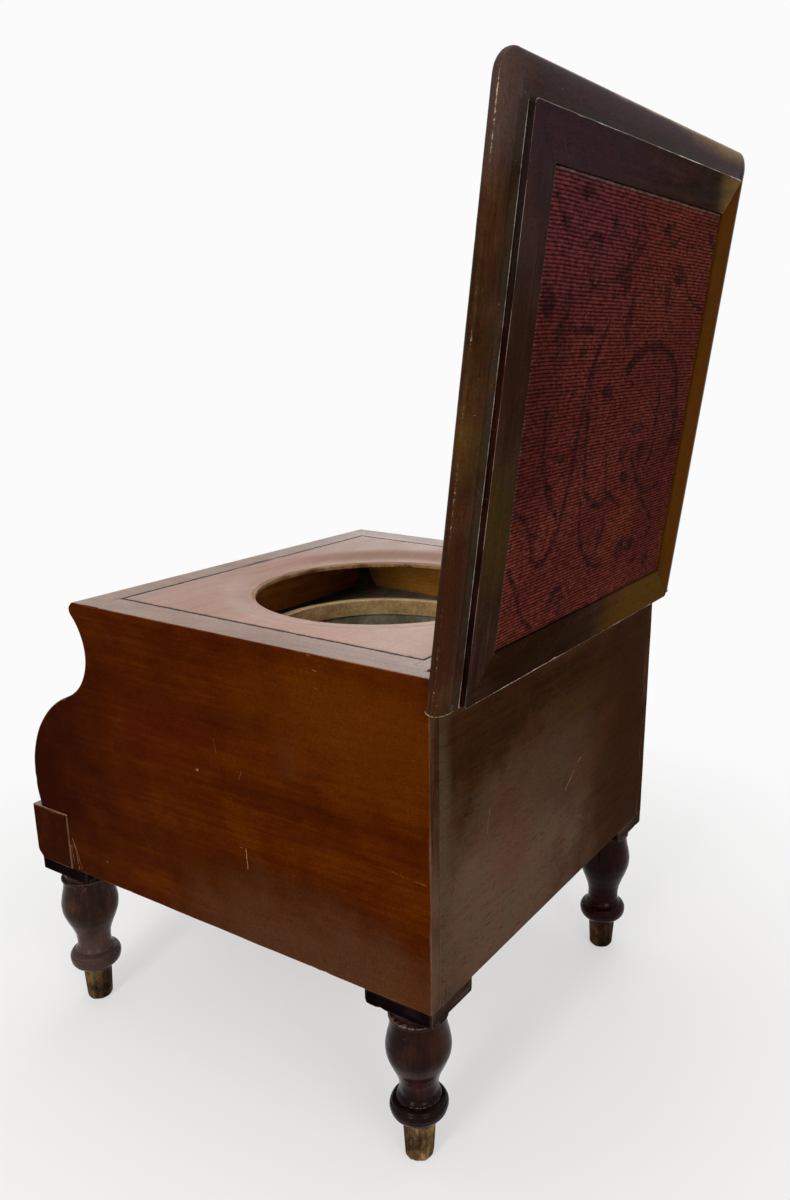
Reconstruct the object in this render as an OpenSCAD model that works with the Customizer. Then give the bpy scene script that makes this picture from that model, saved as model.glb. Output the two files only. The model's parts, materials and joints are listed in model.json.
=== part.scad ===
// Bedside commode: a box on turned legs with an ogee front, a loose seat board,
// a shelf with a hoop for the pot, and a hinged lid with a carpet-covered top.
// It stands on z = 0 with its front towards -Y, lid open and resting on its stop.

/* [Case] */
// Width of the case across the two sides
case_w = 440; // [410:1:500]
// Height of the case top above the floor
case_top = 467; // [445:1:500]
// Height of the case's lower edge above the floor
case_under = 173.5; // [160:0.5:200]
// Thickness of the side panels
side_t = 20; // [16:0.5:22]
// Thickness of the back panel
back_t = 12; // [8:0.5:16]
// Width of each side's edge that shows beside the back panel
back_lip = 13; // [8:0.5:15]
// Thickness of the bottom board
bottom_t = 12; // [8:0.5:16]
// Height of the rails that frame the seat board
rail_h = 40; // [30:1:46]

/* [Front curve] */
// Depth from the back face to the deepest part of the hollow
hollow_depth = 394.2; // [385:0.2:400]
// Height of the hollow's centre below the case top
hollow_drop = 49.7; // [46:0.1:54]
// Radius of the hollow
hollow_r = 53; // [50:0.5:60]
// Depth from the back face to the foremost part of the bulge
bulge_depth = 494.5; // [485:0.5:500]
// Radius of the bulge
bulge_r = 108.5; // [100:0.5:115]
// Radius of the rounded front edge of the top
nose_r = 8; // [6:0.5:10]
// Thickness of the bent front panel
front_t = 9; // [6:0.5:12]

/* [Plinth] */
// Height of the plinth rail under the front panel
plinth_h = 61.5; // [50:0.5:70]
// Depth of the plinth rail from front to back
plinth_t = 54; // [48:0.5:60]
// How far the plinth stands in front of the bulge
plinth_out = 8.5; // [5:0.5:12]
// How far the plinth's ends stand proud of the sides
plinth_proud = 1.5; // [0:0.1:3]
// Radius of the plinth's lower front edge
plinth_round = 12; // [6:0.5:16]

/* [Seat] */
// Thickness of the seat board
seat_t = 12.5; // [11:0.5:15]
// Gap between the seat board and the rails round it
seat_gap = 0.9; // [0.5:0.1:1.5]
// Width of the top on each side of the seat board
side_strip = 34; // [30:0.5:40]
// Width of the flat top in front of the seat board
front_strip = 26; // [22:0.5:30]
// Width of the top behind the seat board
back_strip = 28; // [24:0.5:32]
// Diameter of the hole in the seat
hole_d = 253; // [244:1:262]
// Distance from the back face to the centre of the seat hole
hole_depth = 207; // [203:0.5:208]
// Width of the dished border round the hole
dish_w = 40; // [30:0.5:41]
// Depth of the dish at the edge of the hole
dish_drop = 7; // [4:0.5:8]
// Radius of the rounded upper edge of the hole
lip_r = 2.5; // [1:0.5:3]
// Width and height of the fillets that carry the seat board
seat_bearer = 10; // [8:0.5:12]

/* [Pot shelf] */
// Distance from the case top down to the shelf
shelf_drop = 66; // [60:0.5:70]
// Thickness of the shelf
shelf_t = 15; // [12:0.5:18]
// Inner diameter of the hoop that the pot sits in
hoop_d = 234; // [225:1:240]
// Wall of the hoop
hoop_t = 8; // [5:0.5:10]
// Height of the hoop above the shelf
hoop_h = 18; // [14:0.5:20]
// How much wider the shelf's hole is than the hoop, on each side
hoop_ledge = 3; // [1:0.5:4]
// Width and height of the fillets that carry the shelf
shelf_bearer = 15; // [12:0.5:20]
// Size of the tapered blocks in the front corners above the shelf
corner_block = 21; // [16:0.5:24]
// Leg of the triangular glue blocks inside the case
glue_leg = 14; // [10:0.5:18]
// Length of the triangular glue blocks inside the case
glue_len = 48; // [30:1:60]

/* [Lid] */
// How far the lid overhangs the sides
lid_over = 11; // [6:0.5:16]
// How far the shut lid reaches past the nose of the front
lid_front_over = 0.5; // [0:0.1:6]
// How far the shut lid reaches behind its hinge axis
lid_back_over = 23.7; // [20:0.1:28]
// Thickness of the lid board
lid_t = 15; // [12:0.5:18]
// Radius of the lid's two front corners in plan
lid_corner = 18; // [14:0.5:24]
// Gap between the shut lid and the case
lid_gap = 0.3; // [0.2:0.1:1]
// Lean of the open lid behind the vertical, in degrees
lid_lean = 7; // [5:0.5:12]
// Gap between the open lid and the back face that stops it
stop_gap = 0.5; // [0.3:0.1:1]
// Thickness of the raised frame on the lid
frame_t = 5; // [5:0.5:9]
// Width of the plain border at each side of the raised frame
frame_inset = 27.5; // [22:0.5:30]
// Width of the plain border in front of the raised frame
frame_front_inset = 25.5; // [22:0.5:30]
// Width of the raised frame's side pieces
frame_w = 36; // [28:0.5:40]
// Width of the raised frame's front piece
frame_front_w = 32.5; // [28:0.5:40]
// Width of the raised frame's piece along the hinges
frame_back_w = 35.5; // [32:0.5:44]
// Thickness of the carpet panel
carpet_t = 4; // [3:0.5:4.5]
// Gap between the carpet panel and the frame round it
carpet_gap = 0.3; // [0.2:0.1:1]

/* [Legs] */
// Distance from the case's side face to a leg's axis
leg_side = 26; // [22:0.5:32]
// Distance from the back face to the rear legs' axes
leg_back = 31.5; // [28:0.5:36]
// Distance from the plinth's front face to the front legs' axes
leg_front = 38.5; // [34:0.5:42]
// Diameter of the peg at the floor
peg_foot_d = 26.5; // [22:0.5:28]
// Diameter of the peg at its top
peg_d = 30.5; // [26:0.5:34]
// Radius of the rounded end of the peg
peg_round = 4.5; // [2:0.5:6]
// Height of the peg below the ring
peg_h = 41; // [34:0.5:46]
// Diameter of the ring
ring_d = 53; // [48:0.5:58]
// Height of the ring
ring_h = 20; // [14:0.5:26]
// Diameter of the neck above the ring
neck_d = 35; // [30:0.5:40]
// Height from the ring's top to the narrowest part of the neck
neck_up = 15; // [8:0.5:20]
// Diameter of the bulb
bulb_d = 58.5; // [54:0.5:64]
// Distance from the top of the leg down to the widest part of the bulb
bulb_drop = 42.5; // [36:0.5:48]
// Diameter of the collar at the top of the leg
collar_d = 53; // [50:0.5:58]
// Thickness of the collar
collar_t = 3.5; // [2:0.5:5]
// Distance from the block down to the collar
collar_drop = 8; // [5:0.5:10]
// Diameter of the leg between the collar and the block
leg_top_d = 46; // [38:0.5:50]
// Diameter of the spigot that is glued into the block
spigot_d = 22; // [16:0.5:26]
// Clearance round the spigot
spigot_clear = 0.1; // [0.05:0.05:0.3]

/* [Leg blocks] */
// Thickness of the blocks between the case and the legs
block_t = 14; // [12:0.5:18]
// Length of a block along the side
block_l = 69.5; // [64:0.5:76]
// Length of a block along the back or front
block_w = 64; // [60:0.5:70]
// Chamfer on the lower ends of a block
block_cut = 5; // [2:0.5:8]
// How far the front blocks stand behind the plinth's face
block_back = 4; // [2:0.5:8]

/* [Hinges] */
// Distance from the case's side face to the middle of a hinge
hinge_side = 85; // [60:1:110]
// Length of a hinge
hinge_l = 50; // [40:1:64]
// Width of a hinge leaf, from the axis
leaf_w = 25; // [21:0.5:27]
// Thickness of a hinge leaf
leaf_t = 1.8; // [1.2:0.1:2.2]
// Diameter of the hinge pin
pin_d = 3; // [2.4:0.1:3.4]
// Radial clearance of the pin in its knuckles
pin_clear = 0.05; // [0.02:0.01:0.1]
// Gap between neighbouring knuckles
knuckle_gap = 0.2; // [0.1:0.05:0.4]
// Clearance between the knuckles and the wood
knuckle_clear = 0.25; // [0.15:0.05:0.4]

/* [Screws] */
// Diameter of a hinge screw
screw_d = 3; // [2.4:0.1:3.6]
// Diameter of a hinge screw's head
screw_head_d = 6; // [5:0.1:7]
// Length of a hinge screw
screw_l = 12; // [9:0.5:13]
// Diameter of a screw in a leg block
bolt_d = 4; // [3:0.1:5]
// Diameter of the head of a screw in a leg block
bolt_head_d = 8; // [7:0.1:9]
// Length of a screw in a leg block
bolt_l = 24; // [20:0.5:25]
// Depth of a countersunk head
head_h = 1.7; // [1.2:0.1:2]

/* [Hidden] */
$fn = 64;

// Steps of the drawn arcs
nose_steps = 10;
hollow_steps = 22;
bulge_steps = 22;
round_steps = 8;
blend_steps = 10;
ring_steps = 16;
eps = 0.01;

half_w = case_w / 2;
inner_w = half_w - side_t;
seat_half_w = half_w - side_strip;
case_h = case_top - case_under;

// Front curve in the y, z plane, with the back face at y = 0 and angles from +Y
nose_z = case_top - nose_r;
hollow_z = case_top - hollow_drop;
hollow_y = -hollow_depth - hollow_r;
bulge_y = -bulge_depth + bulge_r;
bulge_z = hollow_z - sqrt(pow(hollow_r + bulge_r, 2) - pow(bulge_y - hollow_y, 2));
nose_y = hollow_y + sqrt(pow(hollow_r + nose_r, 2) - pow(nose_z - hollow_z, 2));
nose_end = 360 + atan2(hollow_z - nose_z, hollow_y - nose_y);
hollow_start = nose_end - 180;
hollow_end = atan2(bulge_z - hollow_z, bulge_y - hollow_y);
bulge_start = hollow_end + 180;

plinth_top = case_under + plinth_h;
plinth_front = -bulge_depth - plinth_out;
plinth_back = plinth_front + plinth_t;
rail_z = case_top - rail_h;
seat_front = nose_y + front_strip;
hole_r = hole_d / 2;
hoop_r = hoop_d / 2;
shelf_top = case_top - shelf_drop;
shelf_under = shelf_top - shelf_t;
bottom_top = case_under + bottom_t;
bearer_z = case_top - seat_t - seat_bearer;

// Lid and hinge, with the axis at the origin of the shut lid
hinge_x = half_w - hinge_side;
lid_low = lid_gap / 2;
axis_y = stop_gap + lid_back_over * sin(lid_lean) - lid_low * cos(lid_lean);
axis_z = case_top + lid_low;
lid_half_w = half_w + lid_over;
lid_reach = axis_y - nose_y + nose_r + lid_front_over;
frame_half_w = lid_half_w - frame_inset;
frame_reach = lid_reach - frame_front_inset;
frame_z = lid_low + lid_t;
knuckle_r = axis_y - knuckle_clear;
leaf_start = knuckle_r + knuckle_clear;
knuckles = 5;
knuckle_l = hinge_l / knuckles;
screws_per_leaf = 3;

// The origin is the middle of the footprint with the lid open
lid_rear = axis_y + frame_reach * sin(lid_lean) + (frame_z + frame_t) * cos(lid_lean);
back_y = -(plinth_front + lid_rear) / 2;

// Legs, measured up from the floor
leg_h = case_under - block_t;
ring_z = peg_h + ring_h / 2;
neck_z = peg_h + ring_h + neck_up;
bulb_z = leg_h - bulb_drop;
collar_z = leg_h - collar_drop - collar_t;
leg_x = half_w - leg_side;
leg_rear_y = -leg_back;
leg_front_y = plinth_front + leg_front;
front_block_y = plinth_front + block_back;

mahogany = "#7a3d1c";
dark_mahogany = "#4a2216";
seat_wood = "#a8705a";
pale_wood = "#c9a35f";
deal_wood = "#8a6238";
brass = "#b08d45";
iron = "#4b4744";
carpet_red = "#6b2430";

// Points of an arc from angle a0 to a1
function arc(cy, cz, r, a0, a1, n) =
    [for (i = [0:n]) let (a = a0 + (a1 - a0) * i / n) [cy + r * cos(a), cz + r * sin(a)]];

// Angle on a circle at which its height above the centre is dz
function angle_at(dz, r) = asin(dz / r);

// Depth of the front surface at height z, moved inwards by t
function front_face_y(z, t) = z > hollow_z + (hollow_r + t) * sin(hollow_end)
    ? hollow_y + sqrt(pow(hollow_r + t, 2) - pow(z - hollow_z, 2))
    : bulge_y - sqrt(pow(bulge_r - t, 2) - pow(z - bulge_z, 2));

// Outer or inner face of the front panel, from the rail down to the plinth
function front_face(t) = concat(
    arc(hollow_y, hollow_z, hollow_r + t, angle_at(rail_z - hollow_z, hollow_r + t), hollow_end, hollow_steps),
    arc(bulge_y, bulge_z, bulge_r - t, bulge_start, 180 + angle_at(bulge_z - plinth_top, bulge_r - t),
        bulge_steps));

// Radius that swells or shrinks smoothly between two heights, as [radius, height] points
function blend(r0, z0, r1, z1) =
    [for (i = [0:blend_steps]) [r0 + (r1 - r0) * (1 - cos(180 * i / blend_steps)) / 2,
        z0 + (z1 - z0) * i / blend_steps]];

function reversed(list) = [for (i = [len(list) - 1:-1:0]) list[i]];

module in_case() translate([0, back_y, 0]) children();

module on_lid() translate([0, back_y + axis_y, axis_z]) rotate([-(90 + lid_lean), 0, 0]) children();

// A profile drawn in y and z, as wide as w across X from x
module across(x, w) translate([x, 0, 0]) rotate([90, 0, 90]) linear_extrude(w) children();

module right_side() mirror([1, 0, 0]) children();

// A box from one corner to another
module span(low, high) translate(low) cube(high - low);

module side_outline() polygon(concat(
    [[0, case_under], [0, case_top]],
    arc(nose_y, nose_z, nose_r, 90, nose_end, nose_steps),
    arc(hollow_y, hollow_z, hollow_r, hollow_start, hollow_end, hollow_steps),
    arc(bulge_y, bulge_z, bulge_r, bulge_start, 180 + angle_at(bulge_z - plinth_top, bulge_r), bulge_steps),
    [[plinth_back, plinth_top], [plinth_back, case_under]]));

module side_panel() difference() {
    across(inner_w, side_t) side_outline();
    span([inner_w - eps, -back_t, case_under - eps], [half_w - back_lip, eps, case_top + eps]);
    block_screw_set();
}

module side_left() color(mahogany) in_case() right_side() side_panel();

module side_right() color(mahogany) in_case() side_panel();

// Recess in the case top for one leaf
module case_leaf_recess(x) span([x - hinge_l / 2, axis_y - leaf_w, case_top - leaf_t],
    [x + hinge_l / 2, eps, case_top + eps]);

module back_panel() color(dark_mahogany) in_case() difference() {
    span([back_lip - half_w, -back_t, case_under], [half_w - back_lip, 0, case_top]);
    for (x = [-hinge_x, hinge_x]) case_leaf_recess(x);
    block_screw_set();
}

module front_panel() color(mahogany) in_case()
    across(-inner_w, 2 * inner_w) polygon(concat(front_face(0), reversed(front_face(front_t))));

module front_top_rail() color(mahogany) in_case() across(-inner_w, 2 * inner_w) polygon(concat(
    [[seat_front, rail_z], [seat_front, case_top]],
    arc(nose_y, nose_z, nose_r, 90, nose_end, nose_steps),
    arc(hollow_y, hollow_z, hollow_r, hollow_start, angle_at(rail_z - hollow_z, hollow_r), hollow_steps)));

module plinth() color(mahogany) in_case() difference() {
    across(-half_w - plinth_proud, case_w + 2 * plinth_proud) polygon(concat(
        [[plinth_back, case_under], [plinth_back, plinth_top], [plinth_front, plinth_top]],
        arc(plinth_front + plinth_round, case_under + plinth_round, plinth_round, 180, 270, round_steps)));
    block_screw_set();
}

module side_rail() span([seat_half_w, seat_front, rail_z], [inner_w, -back_strip, case_top]);

module side_rail_left() color(mahogany) in_case() right_side() side_rail();

module side_rail_right() color(mahogany) in_case() side_rail();

module hinge_rail() color(mahogany) in_case() difference() {
    span([-inner_w, -back_strip, rail_z], [inner_w, -back_t, case_top]);
    for (x = [-hinge_x, hinge_x]) case_leaf_recess(x);
    case_screw_set();
}

module bottom_board() color(deal_wood) in_case() difference() {
    span([-inner_w, plinth_back, case_under], [inner_w, -back_t, bottom_top]);
    block_screw_set();
}

// Half section of what is cut out of the seat: the hole, its rounded lip and the dish
module dish_section() polygon(concat(
    [[0, -seat_t - 1], [hole_r, -seat_t - 1]],
    arc(hole_r + lip_r, -dish_drop - lip_r, lip_r, 180, 90, round_steps),
    blend(hole_r + lip_r, -dish_drop, hole_r + dish_w, 0),
    [[hole_r + dish_w, 1], [0, 1]]));

module seat_board() color(seat_wood) in_case() difference() {
    span([seat_gap - seat_half_w, seat_front + seat_gap, case_top - seat_t],
        [seat_half_w - seat_gap, -back_strip - seat_gap, case_top]);
    translate([0, -hole_depth, case_top]) rotate_extrude($fn = 120) dish_section();
}

module seat_bearer_side() span([seat_half_w - seat_bearer, seat_front, bearer_z],
    [seat_half_w, -back_strip, bearer_z + seat_bearer]);

module seat_bearer_left() color(deal_wood) in_case() right_side() seat_bearer_side();

module seat_bearer_right() color(deal_wood) in_case() seat_bearer_side();

// A fillet across the case whose front face is at y
module seat_bearer_across(y) span([seat_bearer - seat_half_w, y, bearer_z],
    [seat_half_w - seat_bearer, y + seat_bearer, bearer_z + seat_bearer]);

module seat_bearer_front() color(deal_wood) in_case() seat_bearer_across(seat_front);

module seat_bearer_back() color(deal_wood) in_case() seat_bearer_across(-back_strip - seat_bearer);

module pot_shelf() color(dark_mahogany) in_case() difference() {
    span([-inner_w, front_face_y(shelf_top, front_t), shelf_under], [inner_w, -back_t, shelf_top]);
    translate([0, -hole_depth, shelf_under - 1])
        cylinder(h = shelf_t + 2, r = hoop_r + hoop_ledge, $fn = 120);
}

module pot_hoop() color(pale_wood) in_case() translate([0, -hole_depth, shelf_top]) difference() {
    cylinder(h = hoop_h, r = hoop_r + hoop_t, $fn = 120);
    translate([0, 0, -1]) cylinder(h = hoop_h + 2, r = hoop_r, $fn = 120);
}

module shelf_bearer_side() span([inner_w - shelf_bearer, front_face_y(shelf_top, front_t),
    shelf_under - shelf_bearer], [inner_w, -back_t, shelf_under]);

module shelf_bearer_left() color(deal_wood) in_case() right_side() shelf_bearer_side();

module shelf_bearer_right() color(deal_wood) in_case() shelf_bearer_side();

module shelf_bearer_back() color(deal_wood) in_case()
    span([shelf_bearer - inner_w, -back_t - shelf_bearer, shelf_under - shelf_bearer],
        [inner_w - shelf_bearer, -back_t, shelf_under]);

// A block that tapers upwards from the shelf, fitted to the back of the front panel
module corner_block_shape() across(inner_w - corner_block * 0.6, corner_block * 0.6) polygon(concat(
    [for (i = [0:round_steps]) let (z = shelf_top + (rail_z - shelf_top) * i / round_steps)
        [front_face_y(z, front_t), z]],
    [[front_face_y(rail_z, front_t) + corner_block * 0.2, rail_z],
        [front_face_y(shelf_top, front_t) + corner_block, shelf_top]]));

module corner_block_left() color(dark_mahogany) in_case() right_side() corner_block_shape();

module corner_block_right() color(dark_mahogany) in_case() corner_block_shape();

// Triangular block lying along the foot of a side, from y towards the front
module glue_block(y) translate([0, y, 0]) rotate([90, 0, 0]) linear_extrude(glue_len) polygon(
    [[inner_w, bottom_top], [inner_w, bottom_top + glue_leg], [inner_w - glue_leg, bottom_top]]);

module glue_blocks() color(deal_wood) in_case() for (i = [0:2], turned = [0, 1])
    mirror([turned, 0, 0])
        glue_block(-back_t - glue_leg + (plinth_back + back_t + glue_leg + glue_len) * i / 2);

// Block with chamfered lower ends, its outer corner at x, y, running inwards along dir in y
module leg_block(y, dir) intersection() {
    across(half_w - block_w, block_w) polygon([
        [y, leg_h], [y + dir * (block_l - block_cut), leg_h], [y + dir * block_l, leg_h + block_cut],
        [y + dir * block_l, case_under], [y, case_under]]);
    translate([0, y + dir * block_l / 2 + block_l / 2, 0]) rotate([90, 0, 0]) linear_extrude(block_l) polygon([
        [half_w, leg_h], [half_w, case_under], [half_w - block_w, case_under],
        [half_w - block_w, leg_h + block_cut], [half_w - block_w + block_cut, leg_h]]);
}

module drilled_block(y, dir, leg_y) difference() {
    leg_block(y, dir);
    translate([leg_x, leg_y, leg_h - 1]) cylinder(h = block_t + 2, r = spigot_d / 2 + spigot_clear);
    block_screw_set();
}

module leg_block_rear_left() color(dark_mahogany) in_case() right_side() drilled_block(0, -1, leg_rear_y);

module leg_block_rear_right() color(dark_mahogany) in_case() drilled_block(0, -1, leg_rear_y);

module leg_block_front_left() color(dark_mahogany) in_case() right_side()
    drilled_block(front_block_y, 1, leg_front_y);

module leg_block_front_right() color(dark_mahogany) in_case() drilled_block(front_block_y, 1, leg_front_y);

// Half section of a turned leg: peg, ring, neck, bulb, collar and spigot
module leg_section() polygon(concat(
    [[0, 0], [peg_foot_d / 2 - peg_round, 0]],
    arc(peg_foot_d / 2 - peg_round, peg_round, peg_round, -90, 0, round_steps),
    [[peg_d / 2, peg_h]],
    [for (i = [1:ring_steps - 1]) let (a = -90 + 180 * i / ring_steps)
        [peg_d / 2 + (ring_d - peg_d) / 2 * cos(a), ring_z + ring_h / 2 * sin(a)]],
    [[neck_d / 2, peg_h + ring_h]],
    blend(neck_d / 2, neck_z, bulb_d / 2, bulb_z),
    blend(bulb_d / 2, bulb_z + eps, collar_d / 2 - 1, collar_z - 1),
    [[collar_d / 2, collar_z], [collar_d / 2, collar_z + collar_t], [leg_top_d / 2, collar_z + collar_t],
        [leg_top_d / 2, leg_h], [spigot_d / 2, leg_h], [spigot_d / 2, leg_h + block_t - spigot_clear],
        [0, leg_h + block_t - spigot_clear]]));

module leg(x, y) translate([x, y, 0]) rotate_extrude($fn = 72) leg_section();

module leg_rear_left() color(dark_mahogany) in_case() leg(-leg_x, leg_rear_y);

module leg_rear_right() color(dark_mahogany) in_case() leg(leg_x, leg_rear_y);

module leg_front_left() color(dark_mahogany) in_case() leg(-leg_x, leg_front_y);

module leg_front_right() color(dark_mahogany) in_case() leg(leg_x, leg_front_y);

// A countersunk screw whose head's flat face is at z = 0, pointing up
module screw(d, head_d, l) rotate_extrude($fn = 32) polygon([
    [0, 0], [head_d / 2, 0], [d / 2, head_h], [d / 2, l - d / 2], [0, l]]);

// Screws up through the four leg blocks, clear of the legs
module block_screw_set() {
    side_x = half_w - side_t / 2;
    inner_x = half_w - block_w + bolt_head_d;
    rear_end = -block_l + bolt_head_d;
    front_end = plinth_back + bolt_head_d;
    for (turned = [0, 1]) mirror([turned, 0, 0])
        for (p = [[side_x, rear_end], [inner_x, rear_end], [inner_x, -back_t / 2],
            [side_x, front_end], [inner_x, front_end], [inner_x, plinth_front + 2 * bolt_head_d]])
            translate([p[0], p[1], leg_h]) screw(bolt_d, bolt_head_d, bolt_l);
}

module block_screws() color(iron) in_case() block_screw_set();

// Places of the screws in one leaf, along the hinge
module at_leaf_screws(x) for (i = [0:screws_per_leaf - 1])
    translate([x + hinge_l * ((i + 0.5) / screws_per_leaf - 0.5), -leaf_w + screw_head_d, lid_low])
        children();

// One leaf of a butt hinge under the shut lid, with the knuckles from the given first one
module lid_leaf(x, first) difference() {
    union() {
        span([x - hinge_l / 2, -leaf_w, lid_low], [x + hinge_l / 2, -leaf_start, lid_low + leaf_t]);
        for (i = [first:2:knuckles - 1]) translate([x - hinge_l / 2 + knuckle_l * i + knuckle_gap / 2, 0, 0]) {
            rotate([0, 90, 0]) cylinder(h = knuckle_l - knuckle_gap, r = knuckle_r, $fn = 40);
            span([0, -leaf_start - eps, lid_low], [knuckle_l - knuckle_gap, 0, lid_low + leaf_t]);
        }
    }
    translate([x - hinge_l / 2 - 1, 0, 0]) rotate([0, 90, 0])
        cylinder(h = hinge_l + 2, r = pin_d / 2 + pin_clear, $fn = 32);
    at_leaf_screws(x) screw(screw_d, screw_head_d, screw_l);
}

// The case's leaf is the same leaf turned over and set on the case top
module case_leaf(x) translate([0, axis_y, axis_z]) mirror([0, 0, 1]) lid_leaf(x, 0);

module case_screw_set() translate([0, axis_y, axis_z]) mirror([0, 0, 1])
    for (x = [-hinge_x, hinge_x]) at_leaf_screws(x) screw(screw_d, screw_head_d, screw_l);

module hinge_leaf_left() color(brass) in_case() case_leaf(-hinge_x);

module hinge_leaf_right() color(brass) in_case() case_leaf(hinge_x);

module hinge_pin(x) translate([x - hinge_l / 2, axis_y, axis_z]) rotate([0, 90, 0])
    cylinder(h = hinge_l, r = pin_d / 2, $fn = 32);

module hinge_pin_left() color(brass) in_case() hinge_pin(-hinge_x);

module hinge_pin_right() color(brass) in_case() hinge_pin(hinge_x);

module case_hinge_screws() color(iron) in_case() case_screw_set();

module lid_leaf_left() color(brass) on_lid() lid_leaf(-hinge_x, 1);

module lid_leaf_right() color(brass) on_lid() lid_leaf(hinge_x, 1);

module lid_screw_set() for (x = [-hinge_x, hinge_x])
    at_leaf_screws(x) screw(screw_d, screw_head_d, screw_l);

module lid_hinge_screws() color(iron) on_lid() lid_screw_set();

// Section of the lid's rounded edge, reaching out from the line where the corners begin
module lid_edge_section() polygon(concat(
    [[0, 0]], arc(lid_corner - lid_t / 2, lid_t / 2, lid_t / 2, -90, 90, 2 * round_steps), [[0, lid_t]]));

module lid_edge(length) translate([0, length, 0]) rotate([90, 0, 0]) linear_extrude(length) lid_edge_section();

// The lid board lying shut, with rounded sides and front and a flat edge at the hinges
module lid_slab() translate([0, 0, lid_low]) {
    straight_x = lid_half_w - lid_corner;
    straight_y = lid_reach - lid_corner;
    span([-straight_x, -straight_y, 0], [straight_x, lid_back_over, lid_t]);
    for (turned = [0, 1]) mirror([turned, 0, 0]) {
        translate([straight_x, -straight_y, 0]) lid_edge(straight_y + lid_back_over);
        translate([straight_x, -straight_y, 0]) rotate([0, 0, -90])
            rotate_extrude(angle = 90, $fn = 64) lid_edge_section();
    }
    translate([-straight_x, -straight_y, 0]) rotate([0, 0, -90]) lid_edge(2 * straight_x);
}

module lid_board() color(dark_mahogany) on_lid() difference() {
    lid_slab();
    for (x = [-hinge_x, hinge_x]) {
        span([x - hinge_l / 2, -leaf_w, 0], [x + hinge_l / 2, 0, lid_low + leaf_t]);
        translate([x - hinge_l / 2, 0, 0]) rotate([0, 90, 0])
            cylinder(h = hinge_l, r = knuckle_r + knuckle_clear, $fn = 40);
    }
    lid_screw_set();
}

// The raised frame is four mitred pieces on the lid board
module frame_piece(outline) color(dark_mahogany) on_lid() translate([0, 0, frame_z])
    linear_extrude(frame_t) polygon(outline);

frame_side = [[frame_half_w, lid_back_over], [frame_half_w, -frame_reach],
    [frame_half_w - frame_w, frame_front_w - frame_reach],
    [frame_half_w - frame_w, lid_back_over - frame_back_w]];

module lid_frame_right() frame_piece(frame_side);

module lid_frame_left() frame_piece([for (p = frame_side) [-p[0], p[1]]]);

module lid_frame_front() frame_piece([[-frame_half_w, -frame_reach], [frame_half_w, -frame_reach],
    [frame_half_w - frame_w, frame_front_w - frame_reach],
    [frame_w - frame_half_w, frame_front_w - frame_reach]]);

module lid_frame_back() frame_piece([[-frame_half_w, lid_back_over], [frame_half_w, lid_back_over],
    [frame_half_w - frame_w, lid_back_over - frame_back_w],
    [frame_w - frame_half_w, lid_back_over - frame_back_w]]);

module lid_carpet() color(carpet_red) on_lid()
    span([frame_w + carpet_gap - frame_half_w, frame_front_w + carpet_gap - frame_reach, frame_z],
        [frame_half_w - frame_w - carpet_gap, lid_back_over - frame_back_w - carpet_gap, frame_z + carpet_t]);

side_left();
side_right();
back_panel();
front_panel();
front_top_rail();
plinth();
side_rail_left();
side_rail_right();
hinge_rail();
bottom_board();
seat_board();
seat_bearer_left();
seat_bearer_right();
seat_bearer_front();
seat_bearer_back();
pot_shelf();
pot_hoop();
shelf_bearer_left();
shelf_bearer_right();
shelf_bearer_back();
corner_block_left();
corner_block_right();
glue_blocks();
leg_block_rear_left();
leg_block_rear_right();
leg_block_front_left();
leg_block_front_right();
leg_rear_left();
leg_rear_right();
leg_front_left();
leg_front_right();
block_screws();
hinge_leaf_left();
hinge_leaf_right();
hinge_pin_left();
hinge_pin_right();
case_hinge_screws();
lid_leaf_left();
lid_leaf_right();
lid_hinge_screws();
lid_board();
lid_frame_left();
lid_frame_right();
lid_frame_front();
lid_frame_back();
lid_carpet();
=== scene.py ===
import json
import math

import bmesh
import bpy
import numpy as np
from mathutils import Matrix, Vector


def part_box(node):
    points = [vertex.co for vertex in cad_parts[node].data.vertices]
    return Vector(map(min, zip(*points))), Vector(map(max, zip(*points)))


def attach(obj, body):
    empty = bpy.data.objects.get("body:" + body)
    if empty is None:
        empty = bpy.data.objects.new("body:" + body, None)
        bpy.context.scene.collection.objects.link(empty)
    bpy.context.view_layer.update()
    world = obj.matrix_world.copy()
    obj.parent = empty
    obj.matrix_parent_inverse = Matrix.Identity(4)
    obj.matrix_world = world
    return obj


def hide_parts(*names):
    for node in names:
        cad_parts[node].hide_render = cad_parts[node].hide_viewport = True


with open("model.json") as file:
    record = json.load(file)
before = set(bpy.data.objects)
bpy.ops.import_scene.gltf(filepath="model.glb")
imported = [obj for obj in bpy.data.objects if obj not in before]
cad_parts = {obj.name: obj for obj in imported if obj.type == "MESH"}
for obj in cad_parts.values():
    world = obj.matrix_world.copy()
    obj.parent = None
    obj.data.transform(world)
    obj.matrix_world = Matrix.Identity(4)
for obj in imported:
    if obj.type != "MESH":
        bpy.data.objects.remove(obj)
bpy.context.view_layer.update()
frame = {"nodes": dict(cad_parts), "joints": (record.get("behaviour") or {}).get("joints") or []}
mm = 0.001
joint = frame["joints"][0]
hinge = np.array(joint["pos_m"])
openAngle = math.radians(joint["range_deg"][1])
print("frame loaded:", len(frame["nodes"]), "nodes")


# Places taken from the frame

def nodeBox(node):
    low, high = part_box(node)
    return np.array(low), np.array(high)


def fromLid(x, reach, height):
    # the shut lid's own coordinates, x across, reach from the hinge towards the front and height
    # above the axis, turned up about the hinge by the angle at which the lid stands open
    c, s = math.cos(openAngle), math.sin(openAngle)
    x, reach, height = np.broadcast_arrays(x, reach, height)
    return np.stack([x, hinge[1] - reach * c + height * s, hinge[2] + reach * s + height * c], -1)


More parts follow.
